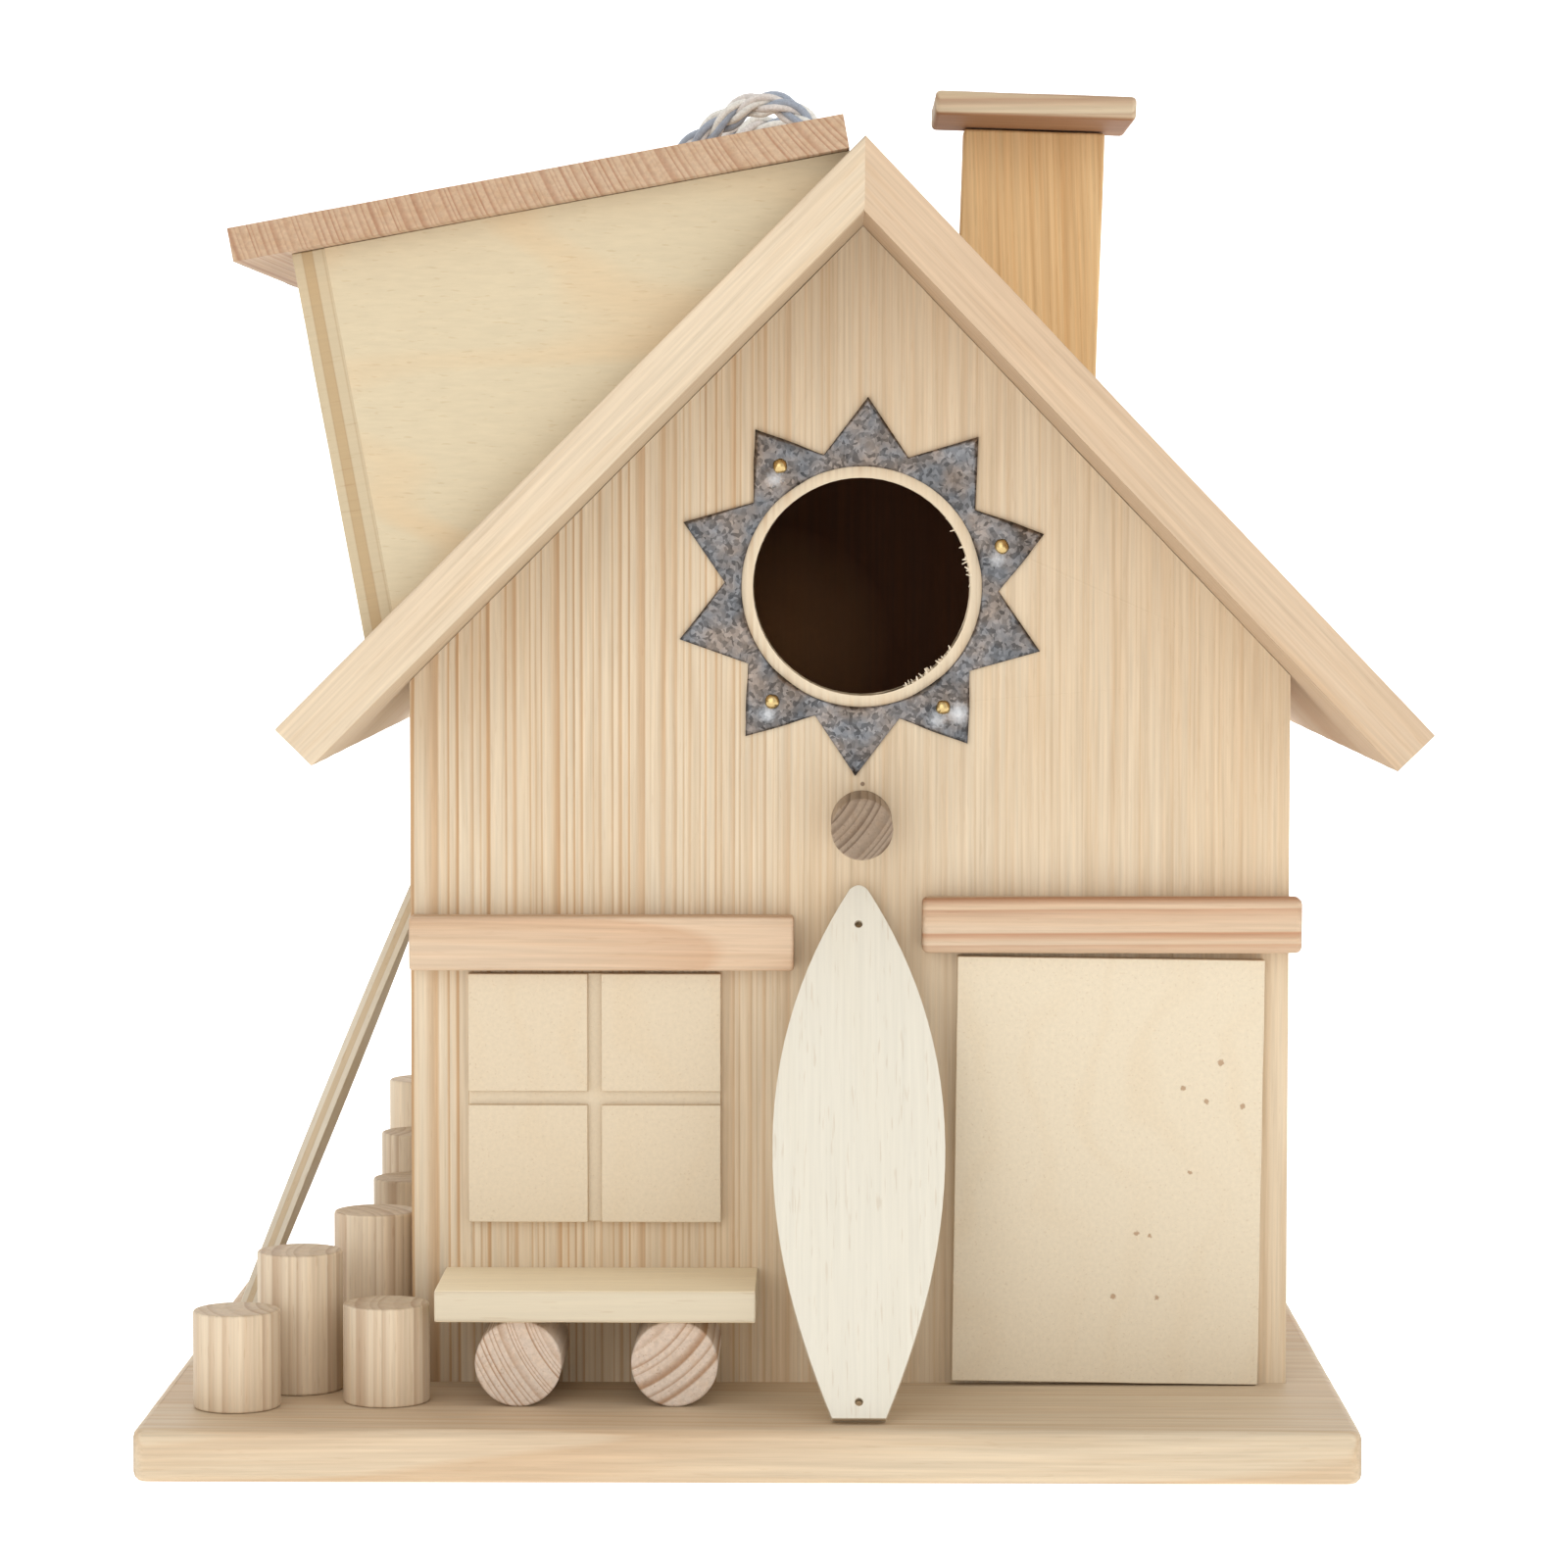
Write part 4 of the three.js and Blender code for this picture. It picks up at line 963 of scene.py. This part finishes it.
class BIRDHOUSE_OT_panels(bpy.types.Operator):
    """Makes the thin plywood window, garage door and clean-out cover"""
    bl_idname = "birdhouse.panels"
    bl_label = "Panels"

    def execute(self, context):
        veneer, figure = tuple(colours().veneer), tuple(colours().veneer_grain)
        pale = shaded(veneer, (1.06, 1.06, 1.14))
        window = plywood(
            "window_plywood", main_centre("window_panel"), DEPTH, 2.5, pale, figure, UPRIGHT)
        close = sizes().joint_close
        board("window_panel", window, width=0.2 * MM, grow=close)
        door = plywood(
            "garage_door_plywood", main_centre("garage_door"), DEPTH, 2.5, (0.68, 0.585, 0.435), figure,
            UPRIGHT, pits=DOOR_PITS)
        board("garage_door", door, width=0.2 * MM, grow=close)
        cover = plywood(
            "cleanout_plywood", main_centre("cleanout_cover"), DEPTH, 3.0, veneer, figure, UPRIGHT)
        board("cleanout_cover", cover, width=sizes().thin_edge, body="cleanout_cover")
        return {"FINISHED"}


# ---------- plate round the entrance ----------
PLATE_POINTS = 10
PLATE_RINGS = 9
PLATE_STEPS = 8
PLATE_TWIST = math.radians(1.9)
PLATE_ACROSS = 78.3 * MM  # from the front wall's left edge to the plate's centre
PLATE_SHEET = 0.55 * MM
# radii of the plate's opening and of the valleys between its points, as shares of its tips' radius
PLATE_OPENING = 20.8 / 32.8
PLATE_VALLEY = 23.7 / 32.8


class BIRDHOUSE_OT_plate(bpy.types.Operator):
    """Makes the sun-shaped galvanised plate, pressed in round its nails, and the brass nails"""
    bl_idname = "birdhouse.plate"
    bl_label = "Sun plate"

    def execute(self, context):
        low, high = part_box("sun_plate")
        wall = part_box("front_wall")[0].y
        tip = (high.z - low.z) / 2 / math.cos(PLATE_TWIST)
        centre = Vector((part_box("front_wall")[0].x + PLATE_ACROSS, wall, (high.z + low.z) / 2))
        inner, valley = tip * PLATE_OPENING, tip * PLATE_VALLEY
        nails = [main_centre(f"sun_plate_nail_{i}") for i in range(1, 5)]
        corners = []
        for i in range(2 * PLATE_POINTS):
            angle = math.pi / 2 - PLATE_TWIST + i * math.pi / PLATE_POINTS
            corners.append(Vector((math.cos(angle), 0, math.sin(angle))) * (valley if i % 2 else tip))
        rim = []
        for a, b in zip(corners, corners[1:] + corners[:1]):
            rim += [a.lerp(b, i / PLATE_STEPS) for i in range(PLATE_STEPS)]
        bm = bmesh.new()
        ring = bmesh.ops.create_circle(bm, cap_ends=False, segments=len(rim), radius=inner)["verts"]
        for vert, edge_point in zip(ring, rim):
            vert.co = centre + edge_point.normalized() * inner
        for number in range(1, PLATE_RINGS + 1):
            edges = [edge for edge in bm.edges if edge.is_boundary or edge.is_wire]
            if number > 1:
                last = set(ring)
                edges = [edge for edge in edges if set(edge.verts) <= last]
            grown = bmesh.ops.extrude_edge_only(bm, edges=edges)["geom"]
            fresh = {item for item in grown if isinstance(item, bmesh.types.BMVert)}
            ring = [next(e.other_vert(v) for e in v.link_edges if e.other_vert(v) in fresh) for v in ring]
            for vert, edge_point in zip(ring, rim):
                start = edge_point.normalized() * inner
                vert.co = centre + start.lerp(edge_point, number / PLATE_RINGS)
        for vert in bm.verts:
            vert.co.y -= self.dent(vert.co, nails, centre, inner, tip)
        bmesh.ops.recalc_face_normals(bm, faces=bm.faces)
        if sum(face.normal.y for face in bm.faces) < 0:
            bmesh.ops.reverse_faces(bm, faces=bm.faces)
        bmesh.ops.solidify(bm, geom=list(bm.faces), thickness=PLATE_SHEET)
        bmesh.ops.recalc_face_normals(bm, faces=bm.faces)
        for face in bm.faces:
            face.smooth = abs(face.normal.y) > 0.5
        # painted highlights: one to the lower left of each nail and one at a lower right point of the plate
        painted_highlights = [(nail.x / MM - 0.9, nail.z / MM - 2.1, 2.6) for nail in nails]
        painted_highlights.append(((centre.x + 17 * MM) / MM, (centre.z - 22 * MM) / MM, 3.2))
        zinc = metal(
            "galvanised_sheet", tuple(colours().zinc), 0.34, spangle=1.1, scratch=0.8, dent=1.1,
            painted_highlights=painted_highlights)
        finish_piece(bm, "sun_plate_sheet", [zinc], ["sun_plate"])
        self.nails(nails, wall)
        return {"FINISHED"}

    def dent(self, spot, nails, centre, inner, tip):
        """How far the sheet stands off the wall: a rim round each nail, and tips bent up a little."""
        height = 0.05 * MM
        for nail in nails:
            away = Vector((spot.x - nail.x, 0, spot.z - nail.z)).length / MM
            height += 0.45 * MM * math.exp(-((away - 3.1) / 1.3) ** 2)
        reach = (spot - centre).length
        lifted = max(0.0, (reach - inner) / (tip - inner) - 0.6)
        return height + 0.8 * MM * lifted * (0.5 + noise.noise(spot * 60))

    def nails(self, nails, wall):
        """Small domed heads, hammered a little out of round."""
        brass = metal("brass_head", tuple(colours().brass), 0.26, scratch=0.4, dent=0.6)
        radius = sizes().nail_head
        for number, nail in enumerate(nails, start=1):
            bm = bmesh.new()
            bmesh.ops.create_uvsphere(bm, u_segments=24, v_segments=14, radius=radius)
            bmesh.ops.bisect_plane(
                bm, geom=list(bm.verts) + list(bm.edges) + list(bm.faces), plane_co=(0, 0, 0),
                plane_no=(0, 1, 0), clear_outer=True)
            bmesh.ops.holes_fill(bm, edges=[edge for edge in bm.edges if edge.is_boundary])
            bmesh.ops.scale(bm, vec=(1.0, 0.62, 1.0), verts=bm.verts)
            for vert in bm.verts:
                vert.co *= 1 + 0.12 * noise.noise(vert.co / (0.9 * MM) + Vector((number * 3.1, 0, 0)))
            bmesh.ops.translate(bm, vec=(nail.x, wall - 0.62 * MM, nail.z), verts=bm.verts)
            for face in bm.faces:
                face.smooth = face.normal.y < 0.9
            finish_piece(
                bm, f"sun_plate_nail_{number}_head", [brass], [f"sun_plate_nail_{number}"])


# ---------- dowels ----------
class BIRDHOUSE_OT_dowels(bpy.types.Operator):
    """Makes the perch, the skateboard's wheels and the posts of turned dowel"""
    bl_idname = "birdhouse.dowels"
    bl_label = "Dowels"

    def execute(self, context):
        side, grain = tuple(colours().dowel), tuple(colours().dowel_grain)
        perch = wood(
            "perch_wood", main_centre("perch_dowel"), DEPTH, (0.36, 0.28, 0.205), (0.12, 0.07, 0.04),
            pith=(20, 16), ring=1.25, contrast=0.9, wander=1.2, end_shade=0.80, flecks=0.4, line=0.35)
        dowel("perch_dowel", "dowel_wood", perch, "Y")
        for number, pith in ((1, (-25, 14)), (2, (16, 19))):
            node = f"skateboard_wheel_{number}"
            wheel = wood(
                node + "_wood", main_centre(node), DEPTH, (0.70, 0.61, 0.525), grain, pith=pith,
                ring=1.0 if number == 1 else 2.1, contrast=0.95, wander=0.7, end_shade=0.95, flecks=0.4,
                line=0.3)
            dowel(node, "dowel_wood", wheel, "Y")
        draw = random.Random(11)
        for number in range(1, 8):
            node = f"log_{number}"
            shade = draw.uniform(0.93, 1.03)
            angle = draw.uniform(0, math.tau)
            post = wood(
                node + "_wood", main_centre(node), UPRIGHT, shaded(side, shade), grain,
                pith=(22 * math.cos(angle), 22 * math.sin(angle)), ring=draw.uniform(1.6, 2.6), contrast=0.55,
                wander=1.3, streaks=0.4, end_shade=0.86, flecks=0.2)
            dowel(node, "dowel_wood", post, "Z")
        return {"FINISHED"}


# ---------- toy boards ----------
class BIRDHOUSE_OT_toys(bpy.types.Operator):
    """Makes the skateboard's deck and the two surfboards of thin plywood"""
    bl_idname = "birdhouse.toys"
    bl_label = "Toy boards"
    lean = math.radians(22.2)

    def execute(self, context):
        deck = plywood(
            "deck_plywood", main_centre("skateboard_deck"), UPRIGHT, 5.4, (0.87, 0.75, 0.53),
            tuple(colours().veneer_grain), SIDE, plies=1, rim_tint=(0.74, 0.77, 0.83))
        board("skateboard_deck", deck, width=0.3 * MM)
        pale, figure = tuple(colours().surfboard), (0.66, 0.60, 0.47)
        front = plywood(
            "surfboard_front_plywood", main_centre("surfboard_front"),
            (math.pi / 2 + self.lean, 0.0, 0.0), 3.0, pale, figure, DEPTH)
        board("surfboard_front", front, width=sizes().thin_edge, wear=False)
        side = plywood(
            "surfboard_side_plywood", main_centre("surfboard_side"), (0.0, math.pi / 2 - self.lean, 0.0), 3.0,
            pale, figure, SIDE)
        board("surfboard_side", side, width=sizes().thin_edge, wear=False)
        return {"FINISHED"}


# ---------- nails ----------
class BIRDHOUSE_OT_fixings(bpy.types.Operator):
    """Gives the wire nails and the clean-out screw their scratched steel"""
    bl_idname = "birdhouse.fixings"
    bl_label = "Fixings"

    def execute(self, context):
        steel = metal("nail_steel", tuple(colours().steel), 0.38, scratch=0.6, dent=0.2)
        names = [f"{kind}_brad_{i}" for kind in ("roof", "dormer") for i in range(1, 5)] + ["cleanout_screw"]
        for name in names:
            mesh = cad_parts[name].data
            mesh.materials.clear()
            mesh.materials.append(steel)
        return {"FINISHED"}


class BIRDHOUSE_PT_panel(bpy.types.Panel):
    """Lists the bird house's operators and the values they use"""
    bl_label = "Bird House"
    bl_idname = "BIRDHOUSE_PT_panel"
    bl_space_type = "VIEW_3D"
    bl_region_type = "UI"
    bl_category = "Bird House"

    def draw(self, context):
        for group in (context.scene.bird_house_sizes, context.scene.bird_house_colours,
                      context.scene.bird_house_stage):
            box = self.layout.box()
            for name in group.__annotations__:
                box.prop(group, name)
        for operator in OPERATORS:
            self.layout.operator(operator.bl_idname)


OPERATORS = (
    BIRDHOUSE_OT_stage, BIRDHOUSE_OT_rope, BIRDHOUSE_OT_base, BIRDHOUSE_OT_walls, BIRDHOUSE_OT_roof,
    BIRDHOUSE_OT_dormer, BIRDHOUSE_OT_chimney, BIRDHOUSE_OT_headers, BIRDHOUSE_OT_panels, BIRDHOUSE_OT_plate,
    BIRDHOUSE_OT_dowels, BIRDHOUSE_OT_toys, BIRDHOUSE_OT_fixings,
)
GROUPS = {
    "bird_house_sizes": BirdHouseSizes,
    "bird_house_colours": BirdHouseColours,
    "bird_house_stage": BirdHouseStage,
}


def register():
    for cls in (*GROUPS.values(), *OPERATORS, BIRDHOUSE_PT_panel):
        bpy.utils.register_class(cls)
    for name, group in GROUPS.items():
        setattr(bpy.types.Scene, name, bpy.props.PointerProperty(type=group))


def unregister():
    for name in GROUPS:
        delattr(bpy.types.Scene, name)
    for cls in reversed((*GROUPS.values(), *OPERATORS, BIRDHOUSE_PT_panel)):
        bpy.utils.unregister_class(cls)


def main():
    register()
    for operator in OPERATORS:
        module, name = operator.bl_idname.split(".")
        getattr(getattr(bpy.ops, module), name)()


if __name__ == "__main__":
    main()
